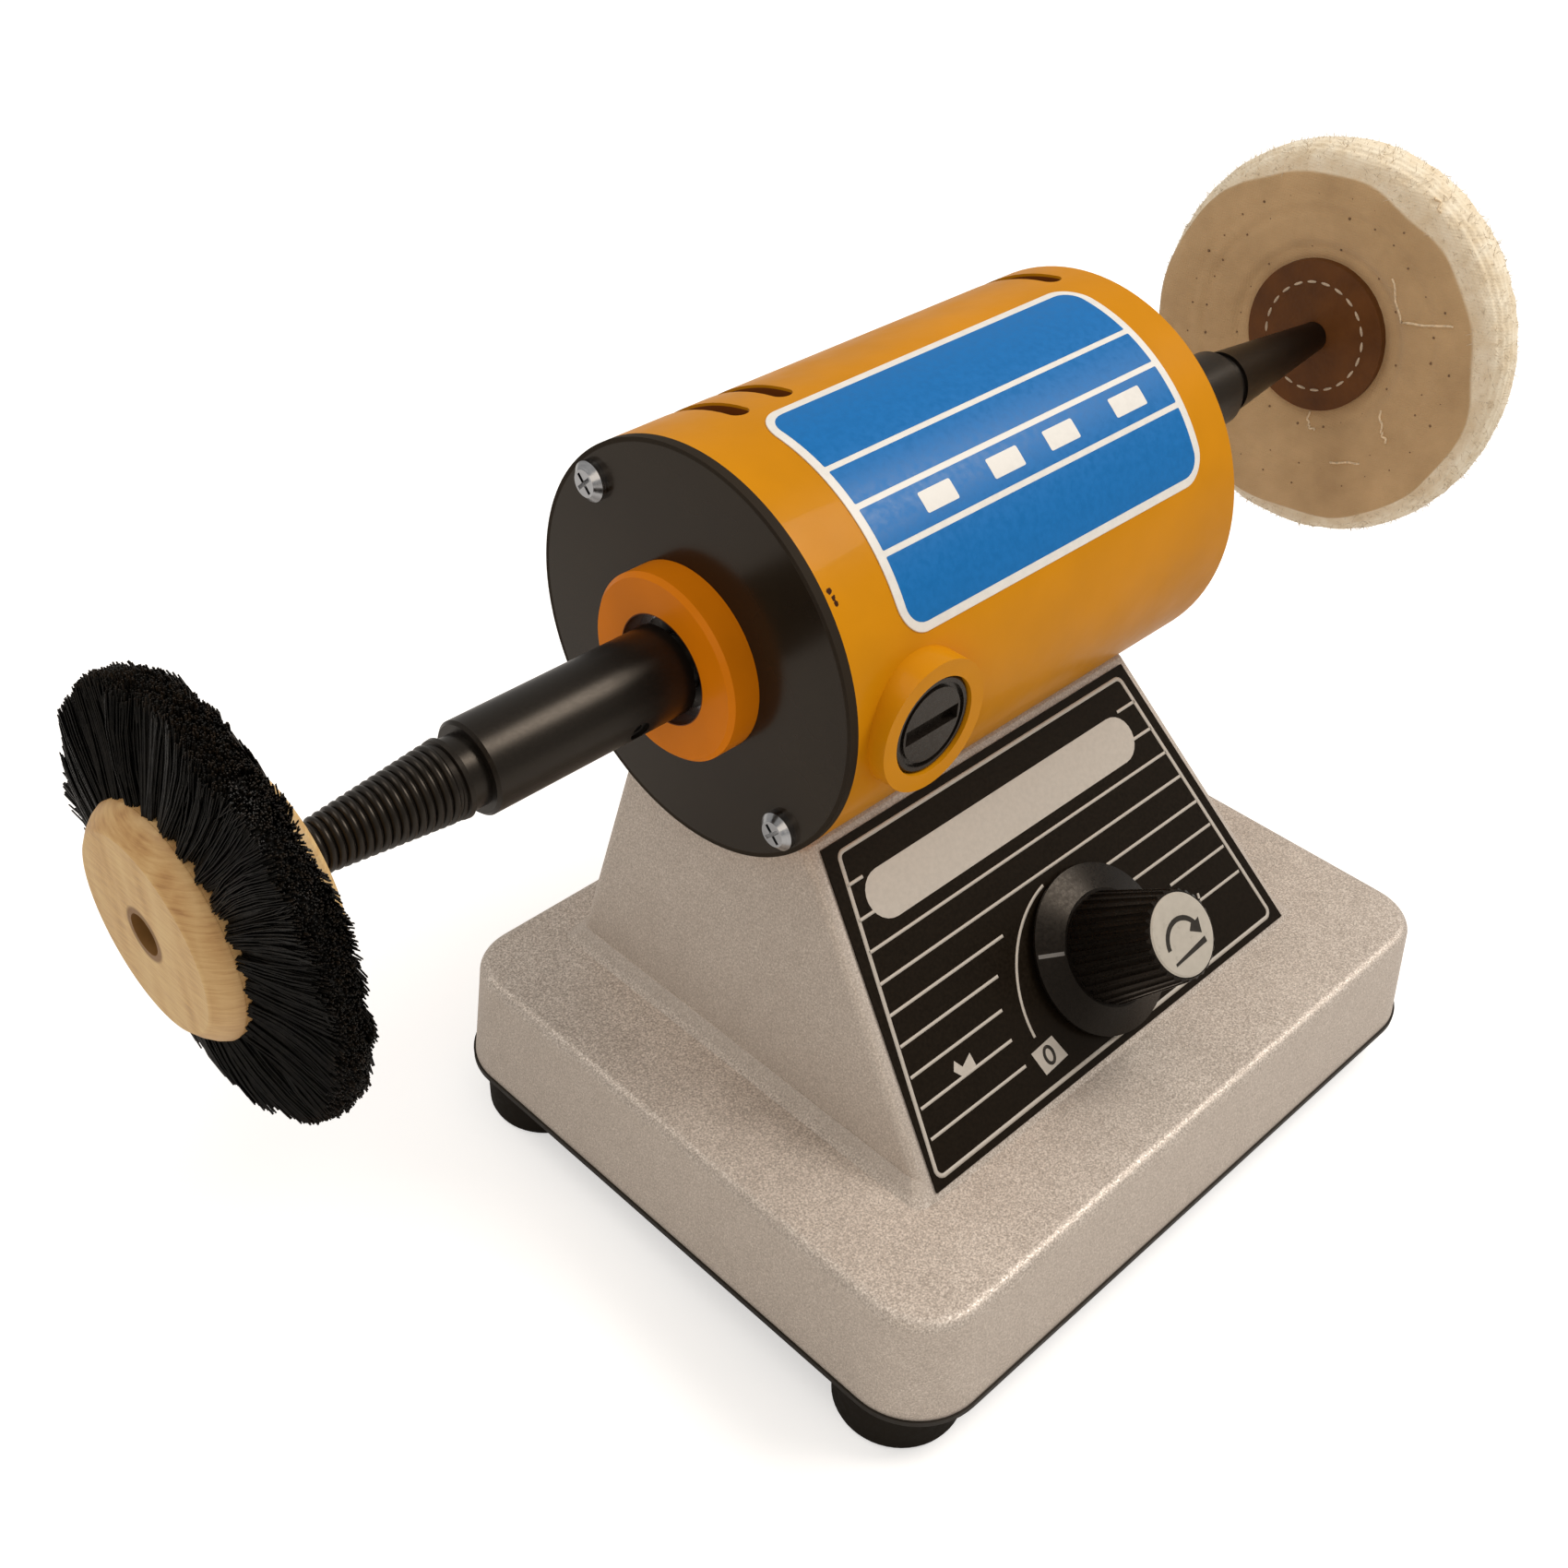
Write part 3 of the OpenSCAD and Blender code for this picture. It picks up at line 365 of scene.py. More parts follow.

# %% [markdown]
# The motor drum has a deep orange gloss paint. A faint clear coat over the colour gives the
# sharp reflections, and a slow, very shallow waviness is what painters call orange peel.
# The shade drifts a little from place to place, and it is dark where the paint is chipped.
# The insides of the drum and the bearing boss are painted dark red-brown as painted shade.

# %% Orange gloss paint
def gloss_paint(name, color, shade_within, shade_to=1.0, chips=()):
    """Gloss paint, dark in the chips, and painted shade in dark red-brown inside a radius and
    below an x.
    """
    f = Finish(name, color, 0.4, Specular_IOR_Level=0.06, Coat_Weight=0.05, Coat_Roughness=0.06)
    # painted shade: the dark red-brown of the drum's and the boss's insides
    shade_red = (0.19, 0.055, 0.010)
    deep, pale = (tuple(c * part for c in color) for part in (0.92, 1.06))
    paint = f.tint(f.noise(45, 3), [(0.3, deep), (0.7, pale)])
    for x, angle, radius, size in chips:
        near = f.distance(axle_point(x * MM, radius * MM, math.radians(angle)))
        ragged = f.math("ADD", near, f.math("MULTIPLY", f.noise(1400, 2), 0.9 * MM))
        bare = f.spread(ragged, size * MM, (size + 0.15) * MM)
        paint = f.mix(bare, (0.05, 0.016, 0.006), paint)
    step = 0.1 * MM
    out = f.math("MAXIMUM", f.spread(f.radius(), shade_within - step, shade_within),
                 f.spread(f.axes()[0], shade_to - step, shade_to))
    f.to("Base Color", f.mix(out, shade_red, paint))
    f.to("Roughness", f.spread(f.noise(120, 2), 0.3, 0.7, 0.3, 0.42))
    f.bump(f.noise(420, 1), 0.00006, 0.5)
    return f.mat


# where the paint is chipped: x, angle from the top towards the front, radius, size
CHIPS = ((-52.2, 48.6, 42.0, 0.95), (-52.0, 50.4, 42.0, 0.85), (-51.9, 52.0, 42.0, 0.9),
         (-35.1, 73.8, 44.5, 0.9))
# painted shade: dark red-brown inside the drum's skin and left of x 56 mm
dress(gloss_paint("drum_paint", (0.62, 0.245, 0.0035), DRUM_R - 0.5 * MM, 56 * MM, CHIPS),
      "motor_drum")
# painted shade: dark red-brown within 11.3 mm of the axis, in the bore
dress(gloss_paint("bracket_paint", (0.80, 0.225, 0.003), 11.3 * MM), "end_bracket")

# %% [markdown]
# The end disc is black and quite glossy, so the room shows in it as a brown grey and the
# spindle as a dark streak. The other black pieces differ in gloss and in the size of their
# grain. All of them mirror a room that is a little warmer than white.

# %% Blacks: end disc, spindles, screws, rubber and plastics
WARM_TINT = (1, 0.85, 0.7, 1)  # of what black surfaces mirror


def plain_finish(name, color, rough, grain, depth, spread=0.08, vary=0.2, **sockets):
    """A finish for small parts: colour and roughness vary a little with one noise."""
    f = Finish(name, color, rough, **sockets)
    if sum(color) < 0.1:
        f.shader.inputs["Specular Tint"].default_value = WARM_TINT
    speck = f.noise(grain, 3, 0.6)
    dark = tuple(c * (1 - vary) for c in color)
    pale = tuple(min(1, c * (1 + vary)) for c in color)
    f.to("Base Color", f.tint(speck, [(0.35, dark), (0.65, pale)]))
    f.to("Roughness", f.spread(speck, 0.35, 0.65, max(0.02, rough - spread), rough + spread))
    f.bump(speck, depth, 0.6)
    return f.mat


def disc_lacquer():
    """Black lacquer, worn dull where the disc's rim has been handled."""
    f = Finish("disc_black", (0.018, 0.0125, 0.0075), 0.2, Specular_IOR_Level=0.24)
    f.shader.inputs["Specular Tint"].default_value = WARM_TINT
    f.to("Base Color", f.tint(f.noise(60, 2), [(0.3, (0.016, 0.011, 0.007)),
                                                (0.7, (0.020, 0.014, 0.008))]))
    f.to("Roughness", f.spread(f.radius(), 40.9 * MM, 41.2 * MM, 0.2, 0.75))
    return f.mat


dress(disc_lacquer(), "end_disc")
spindle_black = plain_finish("spindle_black", (0.006, 0.0048, 0.0038), 0.32, 1800, 0.000003,
                             spread=0.03, Specular_IOR_Level=0.36)
dress(spindle_black, "spindle_left", "spindle_right")
dress(plain_finish("grub_black", (0.008, 0.008, 0.008), 0.42, 1500, 0.00002), "grub_screws")
dress(plain_finish("foot_rubber", (0.010, 0.008, 0.006), 0.75, 700, 0.00004,
                   Specular_IOR_Level=0.14), "feet")
dress(plain_finish("grommet_rubber", (0.017, 0.016, 0.015), 0.7, 700, 0.00004), "cord_grommet")
dress(plain_finish("plate_black", (0.016, 0.014, 0.012), 0.5, 500, 0.00003,
                   Specular_IOR_Level=0.25), "bottom_plate")
dress(plain_finish("knob_black", (0.007, 0.0055, 0.0045), 0.32, 1200, 0.00002,
                   Specular_IOR_Level=0.2), "knob")
dress(plain_finish("cap_black", (0.013, 0.010, 0.008), 0.28, 800, 0.00003,
                   Specular_IOR_Level=0.3), "brush_caps")
dress(plain_finish("shield_black", (0.02, 0.02, 0.02), 0.35, 900, 0.00002), "bearing_shields")
dress(plain_finish("panel_print", (0.0085, 0.0055, 0.003), 0.36, 1500, 0.00001,
                   Specular_IOR_Level=0.12), "panel_foil")

# %% [markdown]
# Bare metal. Turned and ground steel carries fine marks that run round the spindle axis,
# so its noise is stretched: dense along the axis, slow around it. The metals differ in
# colour and in how rough they are.

# %% Metals
def turned_metal(name, color, rough):
    f = Finish(name, color, rough, Metallic=1.0)
    marks = f.noise(300, 4, 0.6, f.place((14, 1, 1)))
    f.to("Base Color", f.tint(marks, [(0.3, tuple(c * 0.82 for c in color)), (0.7, color)]))
    f.to("Roughness", f.spread(marks, 0.3, 0.7, max(0.05, rough - 0.08), rough + 0.08))
    f.bump(marks, 0.00001, 0.5)
    return f.mat


dress(turned_metal("end_screw_zinc", (0.50, 0.51, 0.53), 0.2), "end_screws")
dress(turned_metal("zinc_screw", (0.62, 0.62, 0.63), 0.3),
      "foot_screws", "board_screws", "hold_screws")
dress(turned_metal("bearing_steel", (0.66, 0.66, 0.67), 0.2),
      "bearing_outer_rings", "bearing_inner_rings", "bearing_balls")
dress(turned_metal("shaft_steel", (0.6, 0.6, 0.61), 0.28), "motor_shaft", "pot_shaft",
      "pot_nut", "pot_body", "brush_springs")
dress(turned_metal("spacer_brass", (0.72, 0.52, 0.24), 0.3), "board_spacers", "brush_holders")
dress(turned_metal("commutator_copper", (0.76, 0.36, 0.2), 0.32), "commutator")
dress(turned_metal("core_steel", (0.3, 0.3, 0.31), 0.45), "armature_core")

# %% [markdown]
# What lies inside the drum and the stand is dark ferrite, enamelled copper, green board
# laminate, black components and carbon. They hardly show, but they are finished as well.
# The same kind of finish serves the white cap in the knob.

# %% Inside pieces and the knob's cap
dress(plain_finish("ferrite", (0.05, 0.048, 0.046), 0.6, 400, 0.00008), "magnets")
dress(plain_finish("winding_copper", (0.42, 0.13, 0.04), 0.3, 900, 0.00005, Metallic=0.6),
      "armature_winding")
dress(plain_finish("board_laminate", (0.02, 0.11, 0.05), 0.4, 300, 0.00001), "control_board")
dress(plain_finish("board_part_black", (0.03, 0.03, 0.032), 0.45, 600, 0.00002), "board_parts")
dress(plain_finish("carbon", (0.02, 0.02, 0.02), 0.6, 1500, 0.00004), "carbon_brushes")
dress(plain_finish("fan_white", (0.7, 0.67, 0.6), 0.45, 300, 0.00002), "fan")
dress(plain_finish("knob_white", (0.48, 0.435, 0.37), 0.35, 500, 0.00001, vary=0.04), "knob_cap")

# %% [markdown]
# The rest is drawn or grown onto the pieces. What is drawn is a row of loops of points with
# faces between neighbouring loops, made closed at its ends. A printed area, for one, is a
# thin slab: its outline twice, one above the other.

# %% Helpers for drawn pieces
def skin(bm, loops, ring=False):
    """Faces between neighbouring loops of vertices; in a ring the last loop meets the first."""
    for one, two in zip(loops, loops[1:] + loops[:1] * ring):
        for i in range(len(one)):
            j = (i + 1) % len(one)
            # where a loop is one point, said many times, this leaves a triangle
            bm.faces.new(tuple(dict.fromkeys((one[i], one[j], two[j], two[i]))))


def drawn(name, bm, material=None, crease=None):
    """The finished object, faces outward; smooth but for creases of so many degrees."""
    bmesh.ops.recalc_face_normals(bm, faces=bm.faces)
    if crease:
        for face in bm.faces:
            face.smooth = True
        for edge in bm.edges:
            edge.smooth = edge.calc_face_angle(0) < math.radians(crease)
    mesh = bpy.data.meshes.new(name)
    bm.to_mesh(mesh)
    bm.free()
    if material:
        mesh.materials.append(material)
    return link_object(name, mesh)


def capped(name, loops, material):
    """A closed flat-faced object through loops of points, with a face on each end."""
    bm = bmesh.new()
    rings = [[bm.verts.new(point) for point in loop] for loop in loops]
    skin(bm, rings)
    bm.faces.new(rings[0][::-1])
    bm.faces.new(rings[-1])
    return drawn(name, bm, material)


def slab(name, outline, low, high, place, material):
    """A closed slab: outline in millimetres, from low to high above the drawing plane."""
    return capped(name, [[place @ Vector((x * MM, y * MM, z * MM)) for x, y in outline]
                         for z in (low, high)], material)


def arc(x, y, radius, start, end, steps):
    """Points on a circle, in millimetres and degrees."""
    turns = [math.radians(start + (end - start) * i / steps) for i in range(steps + 1)]
    return [(x + radius * math.cos(t), y + radius * math.sin(t)) for t in turns]


def evaluated_mesh(obj):
    """The object's mesh with its modifiers worked in."""
    graph = bpy.context.evaluated_depsgraph_get()
    return bpy.data.meshes.new_from_object(obj.evaluated_get(graph), depsgraph=graph)


# %% [markdown]
# What repeats is grown by Geometry Nodes. A tree has named inputs, and `harvest` runs it on
# a mesh and keeps the result as a plain mesh, because instances and live modifiers don't
# survive an export.

# %% Helpers for node trees
class Tree:
    """A Geometry Nodes tree: sizes become its named inputs, add() places one node."""

    def __init__(self, name, **sizes):
        self.group = bpy.data.node_groups.new(name, "GeometryNodeTree")
        face = self.group.interface
        face.new_socket("Geometry", in_out="INPUT", socket_type="NodeSocketGeometry")
        face.new_socket("Geometry", in_out="OUTPUT", socket_type="NodeSocketGeometry")
        self.sizes = {}
        for key, value in sizes.items():
            kind = "NodeSocketInt" if isinstance(value, int) else "NodeSocketFloat"
            socket = face.new_socket(key, in_out="INPUT", socket_type=kind)
            self.sizes[key] = (socket.identifier, value)
        self.enter = self.group.nodes.new("NodeGroupInput")
        self.leave = self.group.nodes.new("NodeGroupOutput")
        self.source = self.enter.outputs["Geometry"]

    def size(self, key):
        return self.enter.outputs[key]

    def add(self, kind, inputs, out=0, **settings):
        """Adds a node, sets or wires its inputs, and returns one of its outputs."""
        node = self.group.nodes.new(kind)
        for key, value in settings.items():
            setattr(node, key, value)
        for key, value in inputs.items():
            if isinstance(value, bpy.types.NodeSocket):
                self.group.links.new(value, node.inputs[key])
            else:
                node.inputs[key].default_value = value
        return node.outputs[out]

    def math(self, operation, a, b=0.0):
        return self.add("ShaderNodeMath", {0: a, 1: b}, operation=operation)

    def named(self, name, kind="FLOAT_VECTOR"):
        """A value that is stored on the mesh under this name."""
        return self.add("GeometryNodeInputNamedAttribute", {"Name": name}, data_type=kind)

    def chance(self, low, high, seed):
        """A random number for each point."""
        return self.add("FunctionNodeRandomValue", {2: low, 3: high, "Seed": seed}, 1,
                        data_type="FLOAT")

    def circle(self, resolution, radius):
        return self.add("GeometryNodeCurvePrimitiveCircle",
                        {"Resolution": resolution, "Radius": self.size(radius)})

    def sweep(self, curve, profile, **scale):
        """A profile run along a curve, closed at both ends."""
        return self.add("GeometryNodeCurveToMesh",
                        {"Curve": curve, "Profile Curve": profile, "Fill Caps": True, **scale})

    def smooth(self, geometry):
        return self.add("GeometryNodeSetShadeSmooth", {"Geometry": geometry, "Shade Smooth": True})

    def end(self, geometry, material):
        real = self.add("GeometryNodeRealizeInstances", {"Geometry": geometry})
        coated = self.add("GeometryNodeSetMaterial", {"Geometry": real, "Material": material})
        self.group.links.new(coated, self.leave.inputs["Geometry"])


def harvest(name, source, tree, **changes):
    """Runs the tree on the mesh source and links the result as a plain mesh object."""
    carrier = link_object(name + "_carrier", source)
    modifier = carrier.modifiers.new("tree", "NODES")
    modifier.node_group = tree.group
    for key, (identifier, value) in tree.sizes.items():
        modifier[identifier] = changes.get(key, value)
    mesh = evaluated_mesh(carrier)
    carrier.modifiers.remove(modifier)
    bpy.data.objects.remove(carrier)
    mesh.name = name
    print(name, "has", len(mesh.polygons), "faces")
    return link_object(name, mesh)


def path_mesh(name, lines, closed=()):
    """A mesh of open lines of 3-D points; the lines whose number is in closed are loops."""
    points, edges = [], []
    for number, line in enumerate(lines):
        first = len(points)
        points += [tuple(p) for p in line]
        edges += [(first + i, first + i + 1) for i in range(len(line) - 1)]
        if number in closed:
            edges.append((first + len(line) - 1, first))
    mesh = bpy.data.meshes.new(name)
    mesh.from_pydata(points, edges, [])
    return mesh


# %% [markdown]
# The label is a thin film that lies bent on the drum. Its ground is white, and blue fields
# are printed on it that leave a border and three lines between them. The film is a CAD
# piece. Each field is a thin strip of the same curve, with rounded outer corners, and the
# third carries four blank white boxes.

# %% The drum's label
label_low, label_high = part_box("drum_label")
label_white = plain_finish("label_white", (0.80, 0.77, 0.72), 0.4, 500, 0.000003, vary=0.03,
                           Specular_IOR_Level=0.3)
label_blue = plain_finish("label_blue", (0.003, 0.150, 0.445), 0.36, 700, 0.000003, vary=0.05,
                          Specular_IOR_Level=0.22)
dress(label_white, "drum_label")
ROWS_LONG, ROWS_ROUND = 24, 6  # points along a field, and round each of its corners


def bent_field(name, left, right, start, end, low, high, corners, material):
    """A field on the drum: left and right in metres, start and end in degrees from the
    top towards the front, corners = radii at the start and at the end, in millimetres,
    low and high = height of its underside and face above the drum, in millimetres."""
    first, last = (math.radians(a) * DRUM_R / MM for a in (start, end))
    rows = {first + (last - first) * k / ROWS_LONG for k in range(ROWS_LONG + 1)}
    for where, sign, corner in ((first, 1, corners[0]), (last, -1, corners[1])):
        rows |= {where + sign * corner * (1 - math.cos(math.pi / 2 * k / ROWS_ROUND))
                 for k in range(ROWS_ROUND + 1)}
    loops = []
    for row in sorted(rows):
        inset = 0
        for gap, corner in ((row - first, corners[0]), (last - row, corners[1])):
            if gap < corner:
                inset = max(inset, corner - math.sqrt(max(0, corner ** 2 - (corner - gap) ** 2)))
        near, far = left + inset * MM, right - inset * MM
        loops.append([axle_point(x, DRUM_R + r * MM, row * MM / DRUM_R)
                      for x, r in ((near, low), (far, low), (far, high), (near, high))])
    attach(capped(name, loops, material), "stand")


BORDER = 1.9 * MM
OUTER, INNER, BOX = 4.2, 0.3, 0.4  # corner radii, mm
FIELDS = ((0.6, 21.4, (OUTER, INNER)), (23.0, 33.2, (INNER, INNER)),
          (34.8, 46.0, (INNER, INNER)), (47.6, 65.9, (INNER, OUTER)))
BOXES = ((-24.3, -15.8), (-5.8, 2.9), (10.5, 19.2), (30.6, 40.2))
for number, (start, end, corners) in enumerate(FIELDS, 1):
    bent_field("label_field_%d" % number, label_low.x + BORDER, label_high.x - BORDER,
               start, end, 0.20, 0.26, corners, label_blue)
for number, (left, right) in enumerate(BOXES, 1):
    bent_field("label_box_%d" % number, left * MM, right * MM, 37.3, 42.9, 0.24, 0.30,
               (BOX, BOX), label_white)
print("label:", len(FIELDS), "fields and", len(BOXES), "blank boxes")

# %% [markdown]
# The sloping panel is black with a printed border, ruled lines, a long silver bar and a
# dial scale round the knob that starts at a 0. A printed line is a flat ribbon of ink along
# a path, so one kind of node tree draws them all: it turns the drawn edges into curves and
# runs a thin flat profile along them.

# %% Ink ribbons
def ribbon_tree(name, material, width):
    tree = Tree(name, **{"Line width": width, "Ink height": 0.04 * MM})
    curve = tree.add("GeometryNodeMeshToCurve", {"Mesh": tree.source})
    level = tree.add("GeometryNodeSetCurveNormal", {"Curve": curve}, mode="Z_UP")
    profile = tree.add("GeometryNodeCurvePrimitiveQuadrilateral",
                       {"Width": tree.size("Line width"), "Height": tree.size("Ink height")})
    tree.end(tree.sweep(level, profile), material)
    return tree


def flat_lines(lines):
    """Lines of (across, up) millimetres as 3-D points on the drawing plane."""
    return [[(x * MM, y * MM, 0) for x, y in line] for line in lines]


FRAME_TOP, FRAME_LONG = -2.2, 66.1  # the printed frame, up the slope, mm


def left_at(up):
    """Where the frame's leaning left side is at a height on the panel."""
    return -45.3 + 12.0 * (up - FRAME_TOP) / FRAME_LONG


def right_at(up):
    return 46.0 - 9.7 * (up - FRAME_TOP) / FRAME_LONG


ink_silver = plain_finish("ink_silver", (0.52, 0.47, 0.41), 0.45, 900, 0.000003, vary=0.04)
pointer_grey = plain_finish("pointer_grey", (0.16, 0.15, 0.14), 0.45, 900, 0.000003, vary=0.05)
frame_line = (arc(left_at(-66) + 0.2, -66.7, 1.7, 260, 180, 4)
              + arc(left_at(-2) + 1.8, -4.0, 1.7, 170, 92, 4)
              + arc(right_at(-2) - 1.8, -4.0, 1.7, 88, 10, 4)
              + arc(right_at(-66) - 0.2, -66.7, 1.7, 0, -80, 4))
# ruled lines: height, and where a line from the left side ends or one to the right starts
rows_left = ((-8.8, -42), (-16.0, -43), (-35.4, -16.8), (-41.8, -22.7), (-48.2, -25.7),
             (-54.6, -26.9), (-60.9, -26.6))
rows_right = ((-8.8, 40.5), (-16.0, 41.0), (-36.0, 17.9), (-42.3, 22.1), (-48.4, 32.4),
              (-55.4, 38.7))
ruled = [[(left_at(up), up), (stop, up)] for up, stop in rows_left]
ruled += [[(start, up), (right_at(up), up)] for up, start in rows_right]
ruled += [[(left_at(up), up), (right_at(up), up)] for up in (-22.5, -29.0)]
dial = arc(3.87, -56.08, 25.05, 101.2, 182.6, 20)
zero = [(-19.8 + 1.25 * math.cos(t), -62.15 + 1.85 * math.sin(t))
        for t in [math.tau * k / 20 for k in range(20)]]
short_tick = [(38.9, -53.7), (38.7, -54.9)]
thin_lines = flat_lines(ruled + [dial, short_tick])
panel_black = plain_finish("ink_black", (0.012, 0.011, 0.010), 0.45, 900, 0.000004)
ON_FOIL, ON_INK = 0.02, 0.07  # height of a line's middle over the panel, mm
for name, lines, closed, width, ink, lift in (
        ("panel_frame_line", flat_lines([frame_line]), (0,), 0.95 * MM, ink_silver, ON_FOIL),
        ("panel_ruled_lines", thin_lines, (), 0.7 * MM, ink_silver, ON_FOIL),
        ("dial_zero", flat_lines([zero]), (0,), 0.75 * MM, panel_black, ON_INK)):
    piece = harvest(name, path_mesh(name + "_path", lines, closed),
                    ribbon_tree(name + "_tree", ink, width))
    piece.data.transform(panel_matrix(0, 0, lift))
    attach(piece, "stand")

# %% The silver bar and the box of the 0
BAR_Y, BAR_R = -14.15, 5.35
bar = arc(-38.4, BAR_Y, BAR_R, 90, 270, 12) + arc(36.6, BAR_Y, BAR_R, -90, 90, 12)
zero_box = [(-24.0, -59.6), (-22.8, -65.3), (-15.3, -64.7), (-17.0, -59.1)]
mark = [(-42.4, -50.7), (-41.1, -52.8), (-38.0, -51.3), (-37.9, -54.2), (-41.9, -54.8),
        (-43.6, -52.5)]
for name, outline in (("panel_silver_bar", bar), ("panel_zero_box", zero_box),
                      ("panel_power_mark", mark)):
    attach(slab(name, outline, -0.02, 0.05, panel_matrix(), ink_silver), "stand")
print("panel prints:", len(ruled), "ruled lines, bar, dial arc and the 0")

# %% [markdown]
# The knob's skirt has a pale pointer line that lies on its cone, and the white cap shows
# a turning arrow and a wedge that says less to more. They turn with the knob, so they
# ride on its body.

# %% Pointer and arrow on the knob
POINTER = math.radians(158)
SKIRT_MIDDLE = Vector((15.85 * MM, 0, 3.25 * MM))  # from the knob's axis, above the panel
SKIRT_FALL = math.atan2(2.7, 5.9)
CAP_INK = (25.78, 25.84)  # from just inside the cap to just over its face, mm
knob_axis = panel_matrix(*KNOB_AT)
on_skirt = (knob_axis @ Matrix.Rotation(POINTER, 4, "Z") @ Matrix.Translation(SKIRT_MIDDLE)
            @ Matrix.Rotation(SKIRT_FALL, 4, "Y"))
pointer = [(-2.9, -0.42), (2.8, -0.42), (2.8, 0.42), (-2.9, 0.42)]
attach(slab("knob_pointer", pointer, -0.1, 0.04, on_skirt, pointer_grey), "control")
arrow = arc(-0.25, -1.6, 5.55, 176, 26, 16) + [(5.9, 1.1), (5.0, -2.1), (2.1, -0.3)]
arrow += arc(-0.25, -1.6, 4.45, 26, 176, 16)[1:]
wedge = [(-5.3, -4.75), (5.3, -4.3), (5.3, -3.0), (-5.3, -4.15)]
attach(slab("knob_arrow", arrow, *CAP_INK, knob_axis, panel_black), "control")
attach(slab("knob_wedge", wedge, *CAP_INK, knob_axis, panel_black), "control")
print("pointer at", round(math.degrees(POINTER)), "degrees, arrow and wedge on the cap")

# %% [markdown]
# Each spindle ends in a taper. The left one is cut with a coarse rounded thread, which
# draws a brush hub tight as it is pushed on. The CAD solid has the plain cone round that
# thread, so the body is turned again with the cone sunk to the thread's root, and the ridge
# is laid on it. The body is a lathe form: a profile turned about the spindle axis. The
# hole for its grub screw is cut with a boolean, before the thread is added.

# %% Left spindle, turned again
def lathe(name, profile, material, steps=96):
    """A closed body turned about the spindle axis; the profile starts and ends on it."""
    bm, belts = bmesh.new(), []
    for x, r in profile:
        if r == 0:
            belts.append([bm.verts.new(axle_point(x, 0, 0))] * steps)
        else:
            belts.append([bm.verts.new(axle_point(x, r, math.tau * i / steps))
                          for i in range(steps)])
    skin(bm, belts)
    return drawn(name, bm, material)


BODY_R, BODY_IN, SHOULDER_X = 9.0 * MM, -62.0 * MM, -107.3 * MM
TAPER_X, TAPER_R, TAPER_RATE = -111.0 * MM, 7.6 * MM, 0.1
PITCH, DEPTH = 1.66 * MM, 0.62 * MM
NECK_R, GROOVE = 5.0 * MM, 0.7 * MM  # towards the bearing; between shoulder and taper
SOCKET_R, SOCKET_END = 4.03 * MM, -80.5 * MM  # the bore that takes the motor's shaft
thread_from = -112.2 * MM


def taper_at(x):
    return TAPER_R - TAPER_RATE * (TAPER_X - x)


spindle_low, spindle_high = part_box("spindle_left")
tip = spindle_low.x
profile = [(tip, 0), (tip, taper_at(tip) - 0.9 * MM - DEPTH),
           (tip + 0.8 * MM, taper_at(tip) - DEPTH), (thread_from, taper_at(thread_from) - DEPTH),
           (thread_from + 0.25 * MM, taper_at(thread_from)), (TAPER_X, TAPER_R),
           (TAPER_X + 0.02 * MM, TAPER_R - GROOVE), (SHOULDER_X - 0.02 * MM, TAPER_R - GROOVE),
           (SHOULDER_X, BODY_R - 0.6 * MM), (SHOULDER_X + 0.6 * MM, BODY_R),
           (BODY_IN, BODY_R), (BODY_IN, NECK_R), (spindle_high.x, NECK_R),
           (spindle_high.x, SOCKET_R), (SOCKET_END, SOCKET_R), (SOCKET_END, 0)]
spindle = lathe("spindle_turned", profile, spindle_black)
GRUB_X, GRUB_TURN, GRUB_R = -75.0 * MM, math.radians(112), 2.15 * MM
DRILL_LONG, DRILL_AT = 9 * MM, 8.6 * MM  # its middle's distance from the axis
SPINDLE_CREASE = math.radians(32)
bm = bmesh.new()
bmesh.ops.create_cone(bm, cap_ends=True, segments=32, radius1=GRUB_R, radius2=GRUB_R,
                      depth=DRILL_LONG)
drill = drawn("grub_drill", bm)
outward = axle_point(0, 1, GRUB_TURN) - AXIS
drill.data.transform(Matrix.Translation(axle_point(GRUB_X, DRILL_AT, GRUB_TURN))
                     @ outward.to_track_quat("Z", "Y").to_matrix().to_4x4())
cut = spindle.modifiers.new("grub_hole", "BOOLEAN")
cut.object, cut.operation, cut.solver = drill, "DIFFERENCE", "EXACT"
drilled = evaluated_mesh(spindle)
spindle.modifiers.remove(cut)
spindle.data = drilled
bpy.data.objects.remove(drill)
bm = bmesh.new()
bm.from_mesh(drilled)
for face in bm.faces:
    face.smooth = len(face.verts) == 4
for edge in bm.edges:
    edge.smooth = len(edge.link_faces) == 2 and edge.calc_face_angle(0) < SPINDLE_CREASE
bm.to_mesh(drilled)
bm.free()
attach(spindle, "rotor")
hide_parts("spindle_left")
print("left spindle:", len(drilled.polygons), "faces, tip at", round(tip, 4))

# %% [markdown]
# A thread is one ridge that winds along the cone, so a node tree draws a spiral between
# the cone's two radii and runs a small round profile along it. The profile is wide enough
# that neighbouring turns meet in a narrow valley, its crest lies on the cone, and it fades
# out where it starts.

